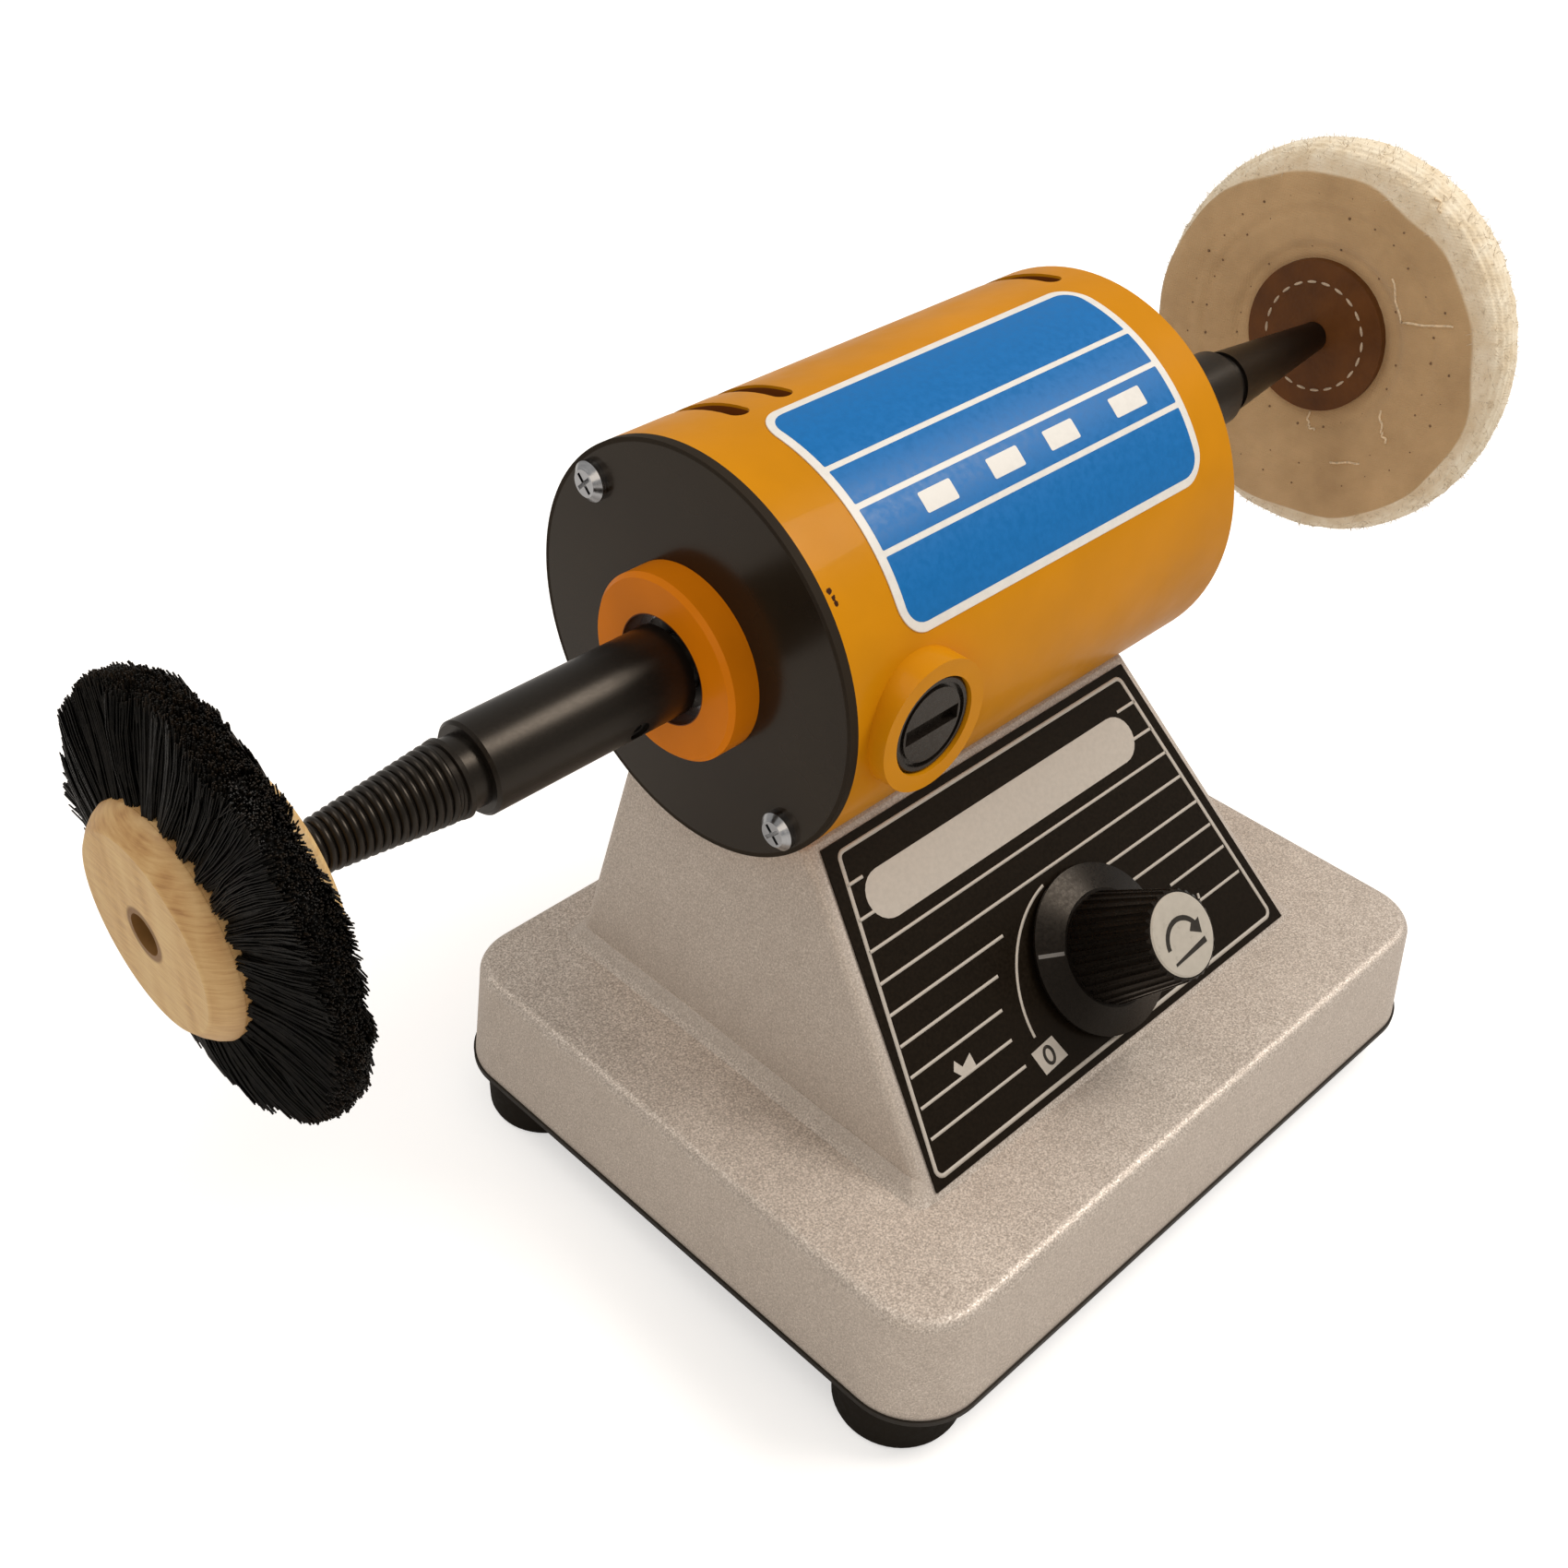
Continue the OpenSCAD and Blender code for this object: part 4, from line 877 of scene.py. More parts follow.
# %% Thread on the left taper
def thread_tree(material, turns, radii, length, ridge):
    tree = Tree("thread", **{"Turns": turns, "Start radius": radii[0], "End radius": radii[1],
                             "Length": length, "Ridge": ridge})
    spiral = tree.add("GeometryNodeCurveSpiral",
                      {"Resolution": 64, "Rotations": tree.size("Turns"),
                       "Start Radius": tree.size("Start radius"),
                       "End Radius": tree.size("End radius"), "Height": tree.size("Length")})
    along = tree.add("GeometryNodeSplineParameter", {})
    fade = tree.math("MINIMUM", tree.math("MULTIPLY", along, 40.0), 1.0)
    tree.end(tree.smooth(tree.sweep(spiral, tree.circle(12, "Ridge"), Scale=fade)), material)
    return tree


thread_to = tip + 3 * MM
RIDGE = PITCH / 2 * 1.01
turns = (thread_from - thread_to) / PITCH
thread = harvest("taper_thread", bpy.data.meshes.new("thread_start"),
                 thread_tree(spindle_black, turns,
                             (taper_at(thread_from) - RIDGE, taper_at(thread_to) - RIDGE),
                             thread_from - thread_to, RIDGE))
thread.data.transform(Matrix.Translation(Vector((thread_from, AXIS.y, AXIS.z)))
                      @ Matrix.Rotation(math.radians(-90), 4, "Y"))
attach(thread, "rotor")
print("thread of %.1f turns" % turns)

# %% [markdown]
# The wheel brush has a turned beech hub. Beech is pale, with short brown flecks along the
# grain, which runs across the disc, and fine rings that the lathe tool left. The hub's front
# has a wide shoulder, painted darker and warmer there as painted shade. The CAD solid has a
# small chamfer there, so the hub is turned again within the same length and radius. The
# slice that holds the hair was part of the bristle solid: a ring of wood takes its place.

# %% Beech
def beech():
    """Wood, with painted shade on the shoulder, which lies outside a radius in front, and darker
    in the bore.
    """
    f = Finish("beech", (0.55, 0.36, 0.17), 0.5)
    lean = (0, 0.25, 0)
    grain = f.noise(60, 4, 0.62, f.place((3, 3, 34), lean, tuple(AXIS)))
    fleck = f.cells(300, f.place((1, 1, 0.16), lean, tuple(AXIS)))
    tone = f.math("ADD", f.math("MULTIPLY", grain, 0.8), f.math("MULTIPLY", fleck, 0.3))
    wood = f.tint(tone, [(0.32, (0.53, 0.30, 0.11)), (0.5, (0.67, 0.42, 0.17)),
                         (0.72, (0.77, 0.54, 0.25))])
    # painted shade: the shoulder's darker, warmer wood tones
    shoulder_shade = f.tint(tone, [(0.32, (0.42, 0.21, 0.07)), (0.5, (0.57, 0.325, 0.12)),
                              (0.72, (0.68, 0.44, 0.19))])
    front = f.spread(f.axes()[0], -155 * MM, -160 * MM)
    shoulder = f.math("MULTIPLY", front, f.spread(f.radius(), 17.4 * MM, 18.0 * MM))
    bore = f.spread(f.radius(), 4.6 * MM, 5.2 * MM)
    f.to("Base Color", f.mix(bore, (0.26, 0.125, 0.03), f.mix(shoulder, wood, shoulder_shade)))
    f.to("Roughness", f.spread(grain, 0.3, 0.7, 0.42, 0.6))
    rings = f.waves(450, 0.6, "X", f.place(centre=tuple(AXIS)), "RINGS")
    f.bump(rings, 0.00003, 0.35)
    f.bump(grain, 0.00005, 0.5)
    return f.mat


# %% Turned hub and the ring of wood under the hair
wood = beech()
hub_low, hub_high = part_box("brush_hub")
HUB_R = (hub_high.z - hub_low.z) / 2
HUB_BORE, HUB_SKIN = 3.7 * MM, 2.0 * MM
HUB_EDGE = ((0, 3.5), (1.3, 1.9), (2.7, 0.7), (4.0, 0.0))  # behind the face, inside HUB_R
BAND = (-164.8 * MM, -148.7 * MM)  # where the hair stands
gap = 0.04 * MM


def turned(name, profile, material, steps=96, centre_x=0.0):
    """A closed ring: profile is a loop of (x, radius), turned about the spindle axis."""
    bm = bmesh.new()
    belts = [[bm.verts.new(axle_point(x + centre_x, r, math.tau * i / steps))
              for x, r in profile] for i in range(steps)]
    skin(bm, belts, ring=True)
    return drawn(name, bm, material, crease=35)


wood_ring = turned("brush_band", [(BAND[0] + gap, HUB_R - HUB_SKIN), (BAND[0] + gap, HUB_R),
                                  (BAND[1] - gap, HUB_R), (BAND[1] - gap, HUB_R - HUB_SKIN)],
                   wood)
core = HUB_R - HUB_SKIN - gap
behind = HUB_R - 0.4 * MM
seat = tip + 12 * MM
profile = [(hub_low.x, HUB_BORE)]
profile += [(hub_low.x + back * MM, HUB_R - cut * MM) for back, cut in HUB_EDGE]
profile += [(BAND[0], HUB_R), (BAND[0], core), (BAND[1], core), (BAND[1], behind),
            (hub_high.x - 1 * MM, behind), (hub_high.x, behind - 1 * MM),
            (hub_high.x, taper_at(hub_high.x) + gap), (seat, taper_at(seat) + gap),
            (seat, HUB_BORE)]
hub = turned("hub_turned", profile, wood)
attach(hub, "rotor")
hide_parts("brush_hub")
print("hub", [round(v, 4) for v in (hub_low.x, hub_high.x)], "radius", round(HUB_R, 4))

# %% [markdown]
# The hair stands in tufts: four rows of 28 drilled holes, each filled with a bundle that
# fans out and leans towards the middle of the rim. The tree starts from one point a tuft,
# which carries where its tip goes, which way is sideways and how the tuft bends. It copies
# the point once for each hair, scatters root and tip in the same way, so hairs don't cross
# much, and bends a line of four points between them. A thin triangle is run along it.

# %% Hair tree
def hair_tree(material):
    tree = Tree("hair", **{"Hairs per tuft": 150, "Root spread": 2.25 * MM,
                           "Side spread": 4.7 * MM, "Length spread": 1.8 * MM,
                           "Row spread": 2.2 * MM, "Bow": 0.8 * MM, "Hair": 0.24 * MM,
                           "Seed": 7})
    tip, side, bend = (tree.named(key) for key in ("tip", "side", "bend"))
    copies = tree.add("GeometryNodeDuplicateElements",
                      {"Geometry": tree.source, "Amount": tree.size("Hairs per tuft")},
                      domain="POINT")
    for_out, for_turn, for_short, for_stray, for_bow = (
        tree.chance(0.0, 1.0, tree.math("ADD", tree.size("Seed"), float(k)))
        for k in (0, 1, 2, 3, 5))
    out = tree.math("POWER", for_out, 0.5)
    turn = tree.math("MULTIPLY", for_turn, math.tau)
    u = tree.math("MULTIPLY", out, tree.math("COSINE", turn))
    v = tree.math("MULTIPLY", out, tree.math("SINE", turn))

    def vector(operation, a, b, key=1):
        return tree.add("ShaderNodeVectorMath", {0: a, key: b}, operation=operation)

    def scaled(a, factor):
        return vector("SCALE", a, factor, "Scale")

    def shift(across, along):
        return vector("ADD", scaled(side, tree.math("MULTIPLY", u, tree.size(across))),
                      scaled((1, 0, 0), tree.math("MULTIPLY", v, tree.size(along))))

    here = tree.add("GeometryNodeInputPosition", {})
    root = vector("ADD", here, shift("Root spread", "Root spread"))
    edge = tree.math("MULTIPLY", tree.math("MULTIPLY", out, out), 0.5)
    short = tree.math("MULTIPLY", tree.size("Length spread"),
                      tree.math("ADD", tree.math("MULTIPLY", for_short, 0.7), edge))
    inward = scaled(vector("NORMALIZE", vector("MULTIPLY", tip, (0, 1, 1)), (0, 0, 0)),
                    tree.math("MULTIPLY", short, -1.0))
    stray = scaled(side, tree.math("MULTIPLY", tree.math("SUBTRACT", for_stray, 0.5), 3 * MM))
    own = tree.math("MULTIPLY", tree.math("SUBTRACT", for_bow, 0.5), tree.size("Bow"))
    bow = vector("ADD", bend, scaled(side, own))
    far = vector("ADD", vector("ADD", tip, shift("Side spread", "Row spread")),
                 vector("ADD", inward, stray))
    kept = copies
    for key, value in (("root", root), ("far", far), ("bow", bow)):
        kept = tree.add("GeometryNodeStoreNamedAttribute",
                        {"Geometry": kept, "Name": key, "Value": value},
                        data_type="FLOAT_VECTOR", domain="POINT")
    line = tree.add("GeometryNodeMeshLine", {"Count": 4, "Offset": (0, 0, 1.0)})
    line = tree.add("GeometryNodeMeshToCurve", {"Mesh": line})
    hairs = tree.add("GeometryNodeInstanceOnPoints", {"Points": kept, "Instance": line})
    hairs = tree.add("GeometryNodeRealizeInstances", {"Geometry": hairs})
    t = tree.add("GeometryNodeSplineParameter", {})
    fan = tree.math("POWER", t, 0.86)
    start, stop, swerve = (tree.named(key) for key in ("root", "far", "bow"))
    arch = tree.math("SINE", tree.math("MULTIPLY", t, math.pi))
    place = vector("ADD", scaled(start, tree.math("SUBTRACT", 1.0, fan)), scaled(stop, fan))
    place = vector("ADD", place, scaled(swerve, arch))
    bent = tree.add("GeometryNodeSetPosition", {"Geometry": hairs, "Position": place})
    thin = tree.math("SUBTRACT", 1.0, tree.math("MULTIPLY", t, 0.3))
    strands = tree.sweep(bent, tree.circle(3, "Hair"), Scale=thin)
    tree.end(tree.smooth(strands), material)
    return tree


# %% Tufts
def bristle_black():
    f = Finish("bristle_black", (0.006, 0.005, 0.004), 0.42, Specular_IOR_Level=0.2)
    # painted highlight: a brown sheen mixed into the hair towards the tips
    at_tips = f.spread(f.radius(), 36.8 * MM, 39.2 * MM)
    tip_highlight = f.math("MULTIPLY", at_tips, f.spread(f.noise(900, 2), 0.45, 0.6))
    dark = f.tint(f.noise(700, 2), [(0.35, (0.003, 0.0025, 0.002)),
                                    (0.7, (0.011, 0.0095, 0.0075))])
    f.to("Base Color", f.mix(tip_highlight, dark, (0.022, 0.014, 0.008)))
    f.to("Roughness", f.spread(f.noise(1200, 1), 0.3, 0.7, 0.36, 0.55))
    return f.mat


hair_black = bristle_black()
brush_tree = hair_tree(hair_black)
chooser = random.Random(11)
TUFTS, ROWS = 28, 4
RIM_X, RIM_HALF, RIM_R = -157.0, 2.9, 39.3  # the band where the tufts end, mm
ROOT_R = HUB_R - 0.6 * MM
for half, rows, seed in (("front", (0, 1), 7), ("back", (2, 3), 31)):
    roots, tips, sides, bends = [], [], [], []
    for row in rows:
        root_x = BAND[0] + (BAND[1] - BAND[0]) * (row + 0.5) / ROWS
        tip_x = (RIM_X + RIM_HALF * (2 * (row + 0.5) / ROWS - 1)) * MM
        for i in range(TUFTS):
            a = math.tau * (i + row % 2 / 2) / TUFTS
            lean = a + chooser.uniform(-0.05, 0.05)
            length = RIM_R + 0.9 * abs(math.cos(1.15 * a)) - chooser.uniform(0, 0.8)
            length = (length - (0.5 if row in (0, 3) else 0)) * MM
            roots.append((root_x, -ROOT_R * math.sin(a), ROOT_R * math.cos(a)))
            tips.append((tip_x + chooser.uniform(-0.7, 0.7) * MM,
                         -length * math.sin(lean), length * math.cos(lean)))
            sides.append((0, -math.cos(a), -math.sin(a)))
            sway = chooser.uniform(-1, 1) * MM
            bends.append((chooser.uniform(-0.9, 0.9) * MM, -sway * math.cos(a),
                          -sway * math.sin(a)))
    seeds = bpy.data.meshes.new("tufts_" + half)
    seeds.from_pydata(roots, [], [])
    for key, values in (("tip", tips), ("side", sides), ("bend", bends)):
        seeds.attributes.new(key, "FLOAT_VECTOR", "POINT").data.foreach_set(
            "vector", [c for v in values for c in v])
    hair = harvest("bristles_" + half, seeds, brush_tree, Seed=seed)
    hair.data.transform(Matrix.Translation(AXIS))
    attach(hair, "rotor")
    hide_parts("bristles")

# %% [markdown]
# Behind the hairs sits a plain dark heart, a little smaller than the mass of hair, so no
# light shows through between the tufts. It stands for the hairs that nobody sees.

# %% Heart of the brush
HEART = ((-163.4, 20.9), (-159.3, 36.3), (-158.0, 37.2), (-156.4, 37.2), (-155.0, 36.3),
         (-150.2, 20.9))  # x and radius, mm
heart = turned("brush_heart", [(x * MM, r * MM) for x, r in HEART], hair_black)
for piece in (heart, wood_ring):
    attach(piece, "rotor")
    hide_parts("bristles")

# %% [markdown]
# The right wheel is a sewn cotton buff: many round plies clamped between two leather
# discs and stitched in rings, loose beyond the last ring. Cloth under pressure bulges
# between what holds it, so a slim disc is blown up by a cloth simulation while its middle
# is pinned and its sewn rings are held. The voxel remesh gives the even small faces that
# cloth needs. The swelling is capped, and only its result is kept, so nothing stays live.

# %% Blow up the cotton wheel
buff_low, buff_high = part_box("buff_cloth")
leather_low, leather_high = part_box("buff_leathers")
BUFF_R = (buff_high.z - buff_low.z) / 2
BUFF_X = (buff_low.x + buff_high.x) / 2
LEATHER_R = (leather_high.z - leather_low.z) / 2
LEATHER_IN = 3.1 * MM
BORE = 4.2 * MM
SEWN = ((22.5, 0.45), (32.0, 0.4), (36.0, 0.3))  # sewn rings: radius, how deep they sink, mm
slim = [(-LEATHER_IN, BORE), (-LEATHER_IN, LEATHER_R + 0.5 * MM),
        (-5.2 * MM, LEATHER_R + 6 * MM), (-6.6 * MM, BUFF_R - 11 * MM),
        (-5.6 * MM, BUFF_R - 4 * MM), (-2.6 * MM, BUFF_R - 1.6 * MM), (0, BUFF_R - 1 * MM)]
slim += [(-x, r) for x, r in slim[-2::-1]]
LAST_FRAME = 20  # of the simulation


def corners_of(mesh):
    """The mesh's vertices as rows of x, y, z."""
    flat = np.empty(len(mesh.vertices) * 3)
    mesh.vertices.foreach_get("co", flat)
    return flat.reshape(-1, 3)


def blown_wheel():
    """The draft wheel, and where its vertices are once it is blown up."""
    wheel = turned("buff_draft", slim, wood, steps=64, centre_x=BUFF_X)
    remesh = wheel.modifiers.new("voxels", "REMESH")
    remesh.mode = "VOXEL"
    remesh.voxel_size = 2.6 * MM
    mesh = evaluated_mesh(wheel)
    bpy.data.objects.remove(wheel)
    wheel = link_object("buff_draft", mesh)
    start = corners_of(mesh)
    radius = np.hypot(start[:, 1] - AXIS.y, start[:, 2] - AXIS.z)
    held = wheel.vertex_groups.new(name="held")
    for index, r in enumerate(radius):
        ring = max(math.exp(-((r / MM - at) / 1.3) ** 2) for at, _ in SEWN)
        held.add([index], 1.0 if r < LEATHER_R + 0.8 * MM else 0.75 * ring, "REPLACE")
    cloth = wheel.modifiers.new("cloth", "CLOTH")
    cloth.settings.use_pressure = True
    cloth.settings.uniform_pressure_force = 4.0
    cloth.settings.vertex_group_mass = "held"
    cloth.settings.quality = 5
    cloth.settings.effector_weights.gravity = 0
    scene = bpy.context.scene
    for number in range(1, LAST_FRAME + 1):
        scene.frame_set(number)
    graph = bpy.context.evaluated_depsgraph_get()
    move = corners_of(wheel.evaluated_get(graph).to_mesh()) - start
    wheel.modifiers.remove(cloth)
    scene.frame_set(1)
    far = np.linalg.norm(move, axis=1)
    cap = 2.2 * MM
    start += move * np.minimum(1, cap / np.maximum(far, 1e-9))[:, None]
    print("cloth moved up to %.1f mm, capped at %.1f" % (far.max() / MM, cap / MM))
    return wheel, start


draft, blown = blown_wheel()
draft.data.vertices.foreach_set("co", blown.ravel())
draft.data.update()
print("draft wheel:", len(draft.data.polygons), "faces")

# %% [markdown]
# The blown shape is even but coarse. A fine net of rings and spokes is laid on it by
# shooting rays at it: from the side onto the two faces, and from the middle of the rim
# outwards. On that net the details are easy, because each point knows its radius and its
# angle: the sewn rings sink in, the outer ply ends in a wavy edge, the plies behind it
# fan out in ridges, and the whole wheel hangs a little, as a limp wheel does.

# %% Net over the wheel
from mathutils import noise as field
from mathutils.bvhtree import BVHTree

SPOKES, RIM_FROM = 360, 37.5 * MM
FACE_RINGS, RIM_RINGS = 34, 76
hull = BVHTree.FromPolygons([v.co for v in draft.data.vertices],
                            [tuple(p.vertices) for p in draft.data.polygons])
bpy.data.objects.remove(draft)
face_radii = [BORE + (RIM_FROM - BORE) * (k / FACE_RINGS) for k in range(FACE_RINGS)]
rim_turns = [math.radians(-90 + 180 * k / RIM_RINGS) for k in range(RIM_RINGS + 1)]
stations = ([(-1, r) for r in face_radii] + [(0, t) for t in rim_turns]
            + [(1, r) for r in reversed(face_radii)])


def wheel_skin(side, value, angle):
    """The blown surface at one station; returns x and radius about the spindle."""
    if side:
        origin = axle_point(BUFF_X + side * 30 * MM, value, angle)
        found = hull.ray_cast(origin, Vector((-side, 0, 0)))[0]
        x = found.x if found else BUFF_X + side * LEATHER_IN
        return x, value
    origin = axle_point(BUFF_X, RIM_FROM, angle)
    out = axle_point(0, math.cos(value), angle) - AXIS
    found = hull.ray_cast(origin, out + Vector((math.sin(value), 0, 0)))[0]
    return found.x, math.hypot(found.y - AXIS.y, found.z - AXIS.z)


def ply_edge(angle):
    """Radius of the outer ply's edge: an off-centre circle with waves, in metres."""
    return (41.9 - 1.95 * math.sin(angle) - 1.65 * math.cos(angle) - 1.35 * math.cos(2 * angle)
            + 0.4 * math.sin(3 * angle + 1) + 0.35 * math.sin(7 * angle + 2)
            + 0.25 * math.sin(12 * angle)) * MM


def clamped(value):
    return min(1.0, max(0.0, value))


LOOSE_FROM, LOOSE_OVER = 36, 5  # radius where the plies come loose, and over how much, mm
PLY_EVERY, PLY_BLUR, SEAM = 1.25 * MM, 0.5 * MM, 0.75  # the last is a seam's width, mm
HANG = Vector((0, -1.5 * MM, -2.3 * MM))  # how far the limp rim hangs


def buff_point(side, value, angle):
    """One point of the finished wheel, and how much of it is outer ply and how much fuzz."""
    x, r = wheel_skin(side, value, angle)
    here = Vector((math.cos(angle) * r, math.sin(angle) * r, x))
    face = -1 if x < BUFF_X else 1
    ply = clamped((ply_edge(-angle * face + (face > 0)) - r) / PLY_BLUR + 0.5)
    sunk = sum(depth * math.exp(-((r / MM - at) / SEAM) ** 2) for at, depth in SEWN) if side else 0
    ruffle = field.noise(here * 60) * 0.5 + field.noise(here * 170) * 0.25
    loose = clamped((r / MM - LOOSE_FROM) / LOOSE_OVER)
    flare = (1 - ply) * loose
    fan = math.sin(math.tau * (x - BUFF_X) / PLY_EVERY + 2.2 * field.noise(here * 34))
    grow = (0.13 * fan * flare + 0.6 * ruffle * loose - 0.3 * flare + 2.1 * loose) * MM
    x += face * (0.30 * ruffle + 0.45 * ply * loose - sunk) * MM
    weight = min(1.0, r / BUFF_R) ** 2
    point = axle_point(x, r + grow, angle)
    lean = (-0.05 * (point.y - AXIS.y) + 0.09 * (point.z - AXIS.z)) * weight * 0.6
    return point + HANG * weight + Vector((lean, 0, 0)), ply, flare


# %% Cotton wheel
bm = bmesh.new()
ply_layer = bm.verts.layers.float.new("ply")
fuzz_layer = bm.verts.layers.float.new("fuzz")
spokes = []
for i in range(SPOKES):
    spoke = []
    for side, value in stations:
        point, ply, flare = buff_point(side, value, math.tau * i / SPOKES)
        vert = bm.verts.new(point)
        vert[ply_layer], vert[fuzz_layer] = ply, flare
        spoke.append(vert)
    spokes.append(spoke)
skin(bm, spokes, ring=True)
for face in bm.faces:
    face.smooth = True
buff = drawn("cotton_wheel", bm)
print("cotton wheel:", len(buff.data.polygons), "faces")

# %% [markdown]
# Unbleached cotton is a plain weave of coarse threads, two thirds of a millimetre apart,
# with thick and thin places. The clamped outer ply is stained brown by polish, the loose rim
# stays cream. The stored ply value mixes the two, two crossed waves give the weave.

# %% Cotton
def cotton():
    f = Finish("cotton", (0.6, 0.5, 0.36), 0.9, Sheen_Weight=0.25, Sheen_Roughness=0.5)
    stain = f.nodes.new("ShaderNodeAttribute")
    stain.attribute_name = "ply"
    cloud = f.noise(55, 4, 0.6)
    fine = f.noise(900, 3, 0.6)
    tan = f.tint(cloud, [(0.3, (0.47, 0.31, 0.155)), (0.7, (0.63, 0.43, 0.225))])
    cream = f.tint(f.noise(240, 3), [(0.3, (0.80, 0.66, 0.46)), (0.7, (0.94, 0.84, 0.66))])
    f.to("Base Color", f.mix(stain.outputs["Fac"], cream, tan))
    f.to("Roughness", f.spread(fine, 0.3, 0.7, 0.8, 0.95))
    warp, weft = (f.waves(480, 1.5, direction) for direction in "YZ")
    weave = f.math("ADD", f.math("MULTIPLY", warp, weft), f.math("MULTIPLY", fine, 0.7))
    f.bump(weave, 0.00012, 0.5)
    return f.mat


buff.data.materials.append(cotton())
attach(buff, "rotor")
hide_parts("buff_cloth")

# %% [markdown]
# The needle holes show as dark dots of painted shade in three rings on each face, a few light
# threads lie loose on the outer ply, and the rim is fuzzy with short fibres. Dots and fibres
# are one small shape set many times on the wheel, and the threads a thin tube run along drawn
# lines, so each of the three is a node tree.

# %% Needle dots
def dots_tree(material):
    tree = Tree("needle_dots", **{"Dot": 0.38 * MM, "Seed": 3})
    ball = tree.add("GeometryNodeMeshIcoSphere", {"Radius": tree.size("Dot"), "Subdivisions": 1})
    dots = tree.add("GeometryNodeInstanceOnPoints",
                    {"Points": tree.source, "Instance": ball,
                     "Scale": tree.chance(0.5, 1.15, tree.size("Seed"))})
    tree.end(dots, material)
    return tree


def on_face(side, radius, angle, out):
    """A point on a face of the finished wheel, so many millimetres out of it."""
    point = buff_point(side, radius * MM, angle)[0]
    return point + Vector((side * out * MM, 0, 0))


# painted shade: dark brown dots stand for the shade in the needle holes
hole_shade_brown = plain_finish("hole_shade_brown", (0.19, 0.115, 0.06), 0.8, 900, 0.00003)
chooser = random.Random(5)
HOLES = ((22.5, 20), (31.8, 27), (36.2, 31))  # rings of needle holes: radius in mm, number
dots = []
for side in (-1, 1):
    for radius, count in HOLES:
        dots += [on_face(side, radius + chooser.uniform(-0.5, 0.5),
                         math.tau * (k + chooser.uniform(-0.2, 0.2)) / count, -0.05)
                 for k in range(count) if chooser.random() < 0.8]
dot_points = bpy.data.meshes.new("dot_points")
dot_points.from_pydata([tuple(p) for p in dots], [], [])
needle_dots = harvest("needle_dots", dot_points, dots_tree(hole_shade_brown))
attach(needle_dots, "rotor")

# %% Loose threads
def cord_tree(material):
    tree = Tree("loose_thread", **{"Thread radius": 0.28 * MM, "Sides": 6})
    curve = tree.add("GeometryNodeMeshToCurve", {"Mesh": tree.source})
    thread = tree.sweep(curve, tree.circle(tree.size("Sides"), "Thread radius"))
    tree.end(tree.smooth(thread), material)
    return tree


thread_cream = plain_finish("thread_cream", (0.80, 0.64, 0.43), 0.8, 1500, 0.00005)
# where threads lie on a face: points (towards the front, up), in mm
STRAYS = ((-1, ((16.1, 21.1), (20.9, 11.4), (33.3, 15.8))),
          (-1, ((2.9, -19.3), (3.8, -22.4), (6.2, -22.6))),
          (-1, ((22.2, -10.8), (24.3, -15.4), (26.2, -17.1))),
          (-1, ((13.0, -27.8), (21.0, -24.8))), (-1, ((18.4, 40.6), (21.0, 38.2))),
          (1, ((20.0, 12.0), (28.0, 20.0))), (1, ((-22.0, -14.0), (-33.0, -18.0))),
          (1, ((8.0, -30.0), (3.0, -37.0))))
BETWEEN = 8  # steps from one of these points to the next
strays = []
for number, (side, corners) in enumerate(STRAYS):
    line = []
    for (y, z), (next_y, next_z) in zip(corners, corners[1:]):
        for k in range(BETWEEN + 1):
            sway = 0.25 * math.sin(number + k * 1.1)
            across = y + (next_y - y) * k / BETWEEN + sway
            up = z + (next_z - z) * k / BETWEEN + sway
            line.append(on_face(side, math.hypot(across, up), math.atan2(across, up), 0.08))
    strays.append(line)
threads = harvest("loose_threads", path_mesh("stray_path", strays), cord_tree(thread_cream))
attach(threads, "rotor")

# %% Fuzz on the rim
def fuzz_tree(material):
    tree = Tree("fuzz", **{"Per square metre": 620000.0, "Fibre": 0.06 * MM, "Seed": 9})
    density = tree.math("MULTIPLY", tree.named("fuzz", "FLOAT"), tree.size("Per square metre"))
    spots = tree.add("GeometryNodeDistributePointsOnFaces",
                     {"Mesh": tree.source, "Density": density, "Seed": tree.size("Seed")})
    line = tree.add("GeometryNodeCurvePrimitiveLine", {"End": (0.25 * MM, 0, 1.0 * MM)})
    line = tree.add("GeometryNodeResampleCurve", {"Curve": line, "Count": 3})
    along = tree.add("GeometryNodeSplineParameter", {})
    thin = tree.math("SUBTRACT", 1.0, tree.math("MULTIPLY", along, 0.7))
    fibre = tree.sweep(line, tree.circle(3, "Fibre"), Scale=thin)
    hairs = tree.add("GeometryNodeInstanceOnPoints",
                     {"Points": spots, "Instance": fibre,
                      "Rotation": spots.node.outputs["Rotation"],
                      "Scale": tree.chance(0.5, 1.6, tree.size("Seed"))})
    tilt = tree.add("FunctionNodeRandomValue",
                    {0: (-1.1, -1.1, -3.1), 1: (1.1, 1.1, 3.1), "Seed": tree.size("Seed")}, 0,
                    data_type="FLOAT_VECTOR")
    turned_hairs = tree.add("GeometryNodeRotateInstances", {"Instances": hairs, "Rotation": tilt})
    tree.end(turned_hairs, material)
    return tree


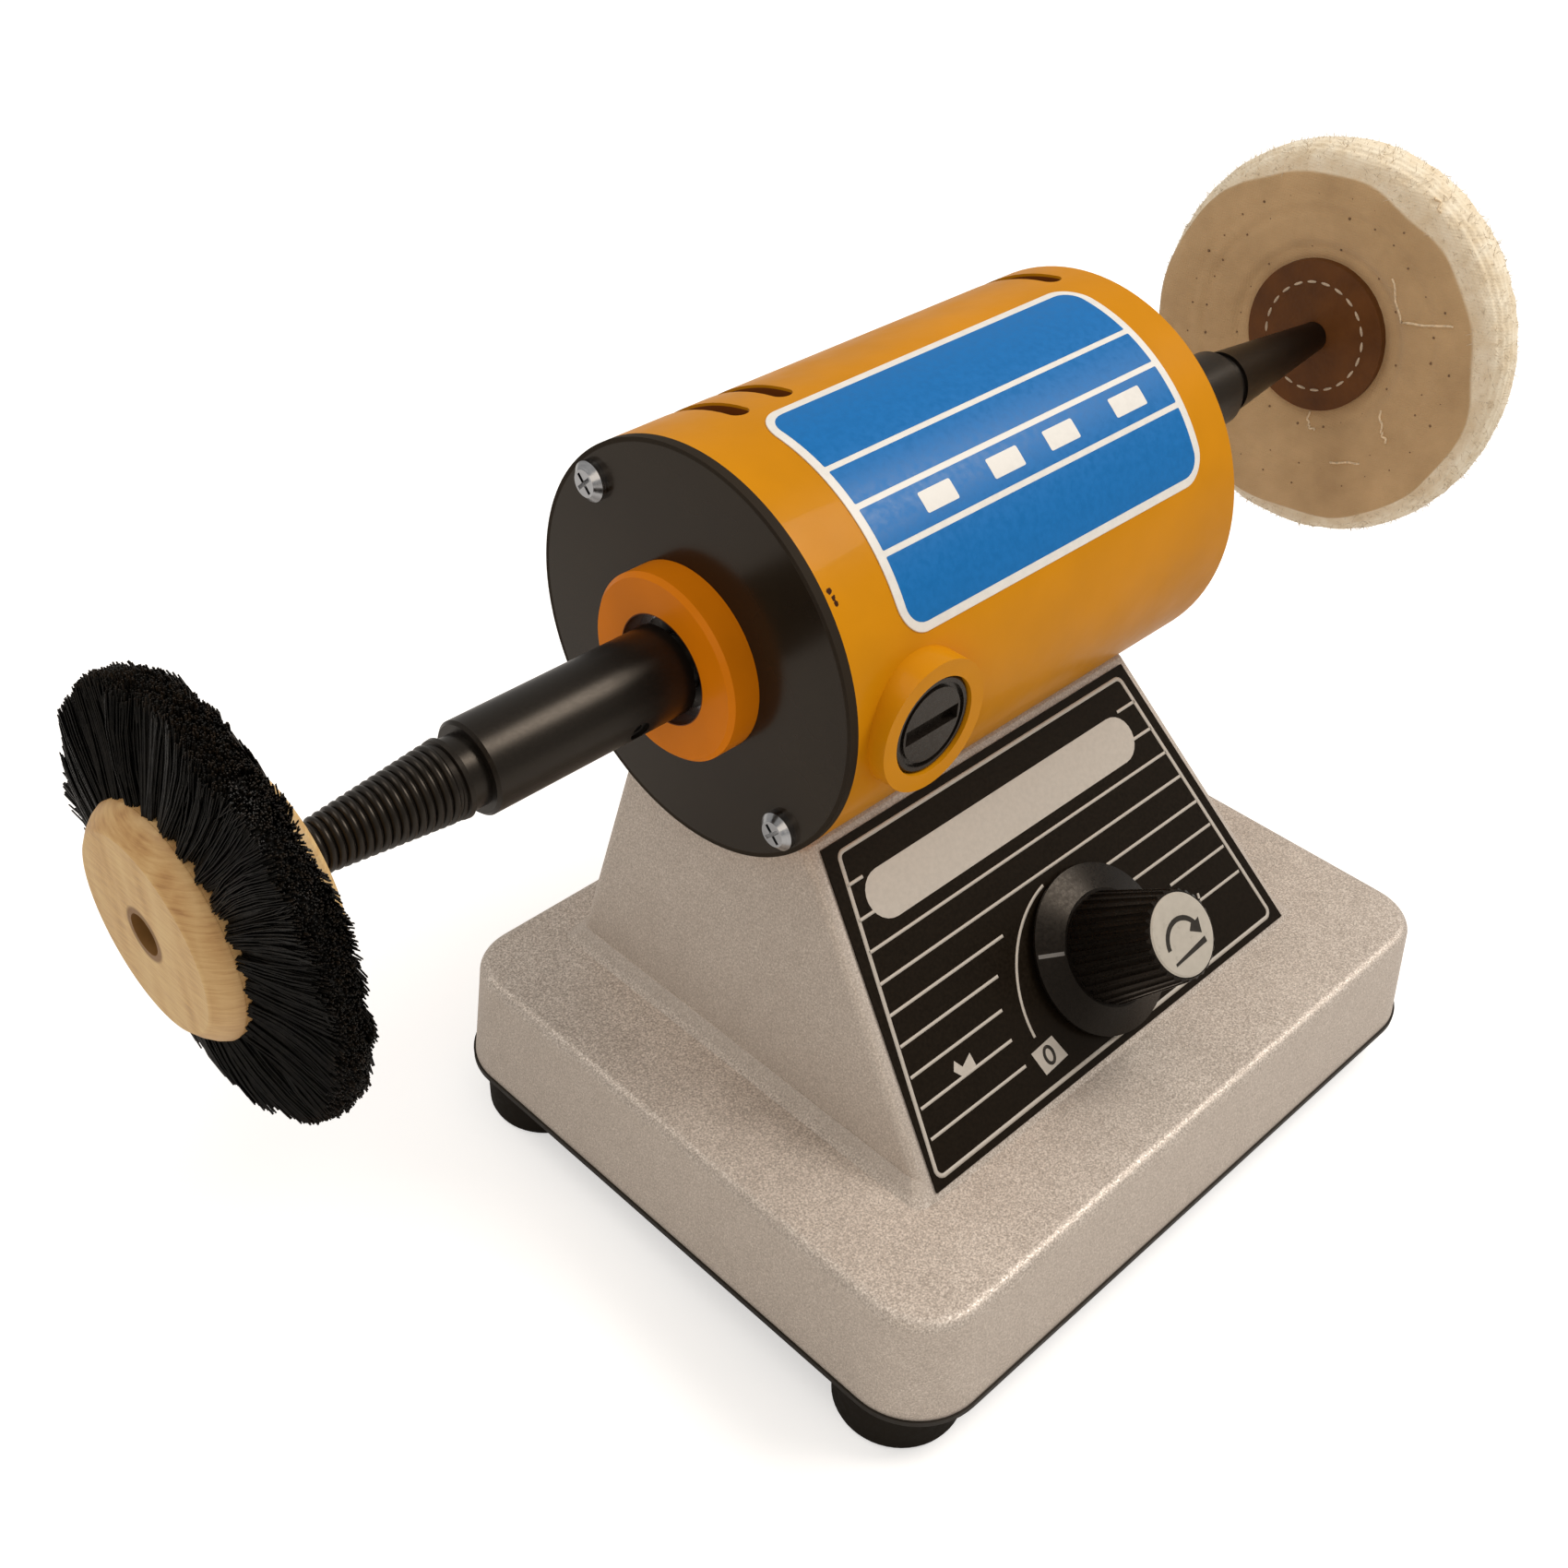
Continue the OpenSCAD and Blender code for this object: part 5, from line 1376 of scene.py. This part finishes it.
fuzz_cream = plain_finish("fuzz_cream", (0.66, 0.56, 0.42), 0.9, 1500, 0.00003)
fuzz = harvest("rim_fuzz", buff.data.copy(), fuzz_tree(fuzz_cream))
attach(fuzz, "rotor")

# %% [markdown]
# Two discs of brown harness leather clamp the plies. Leather has a pebbled grain of about
# a millimetre and darkens where polish has soaked in. They are sewn through with waxed
# thread, whose stitches show as white dashes in a ring: a stretched ball set along a circle.

# %% Leather and its stitches
def leather():
    f = Finish("leather", (0.11, 0.036, 0.007), 0.55, Specular_IOR_Level=0.25)
    stain = f.noise(70, 4, 0.6)
    f.to("Base Color", f.tint(stain, [(0.3, (0.085, 0.029, 0.005)),
                                      (0.7, (0.155, 0.056, 0.012))]))
    f.to("Roughness", f.spread(stain, 0.3, 0.7, 0.45, 0.68))
    f.bump(f.cells(950), 0.00012, 0.5)
    f.bump(f.noise(2500, 2), 0.00004, 0.4)
    return f.mat


dress(leather(), "buff_leathers")


def stitch_tree(material):
    tree = Tree("stitches", **{"Stitches": 22, "Ring radius": 13.5 * MM,
                               "Thread": 0.36 * MM, "Stitch length": 2.6 * MM})
    spots = tree.add("GeometryNodeCurveToPoints",
                     {"Curve": tree.circle(80, "Ring radius"), "Count": tree.size("Stitches")},
                     mode="COUNT")
    ball = tree.add("GeometryNodeMeshUVSphere", {"Segments": 8, "Rings": 5, "Radius": 1.0})
    size = tree.add("ShaderNodeCombineXYZ",
                    {0: tree.size("Thread"), 1: tree.size("Thread"),
                     2: tree.math("MULTIPLY", tree.size("Stitch length"), 0.5)})
    stitches = tree.add("GeometryNodeInstanceOnPoints",
                        {"Points": spots, "Instance": ball,
                         "Rotation": spots.node.outputs["Rotation"], "Scale": size})
    tree.end(tree.smooth(stitches), material)
    return tree


sewing = stitch_tree(plain_finish("waxed_thread", (0.54, 0.43, 0.31), 0.6, 2500, 0.00006))
for name, x in (("stitches_inner", leather_low.x), ("stitches_outer", leather_high.x)):
    ring = harvest(name, bpy.data.meshes.new(name + "_start"), sewing)
    ring.data.transform(Matrix.Translation(Vector((x, AXIS.y, AXIS.z)))
                        @ Matrix.Rotation(math.radians(90), 4, "Y"))
    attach(ring, "rotor")
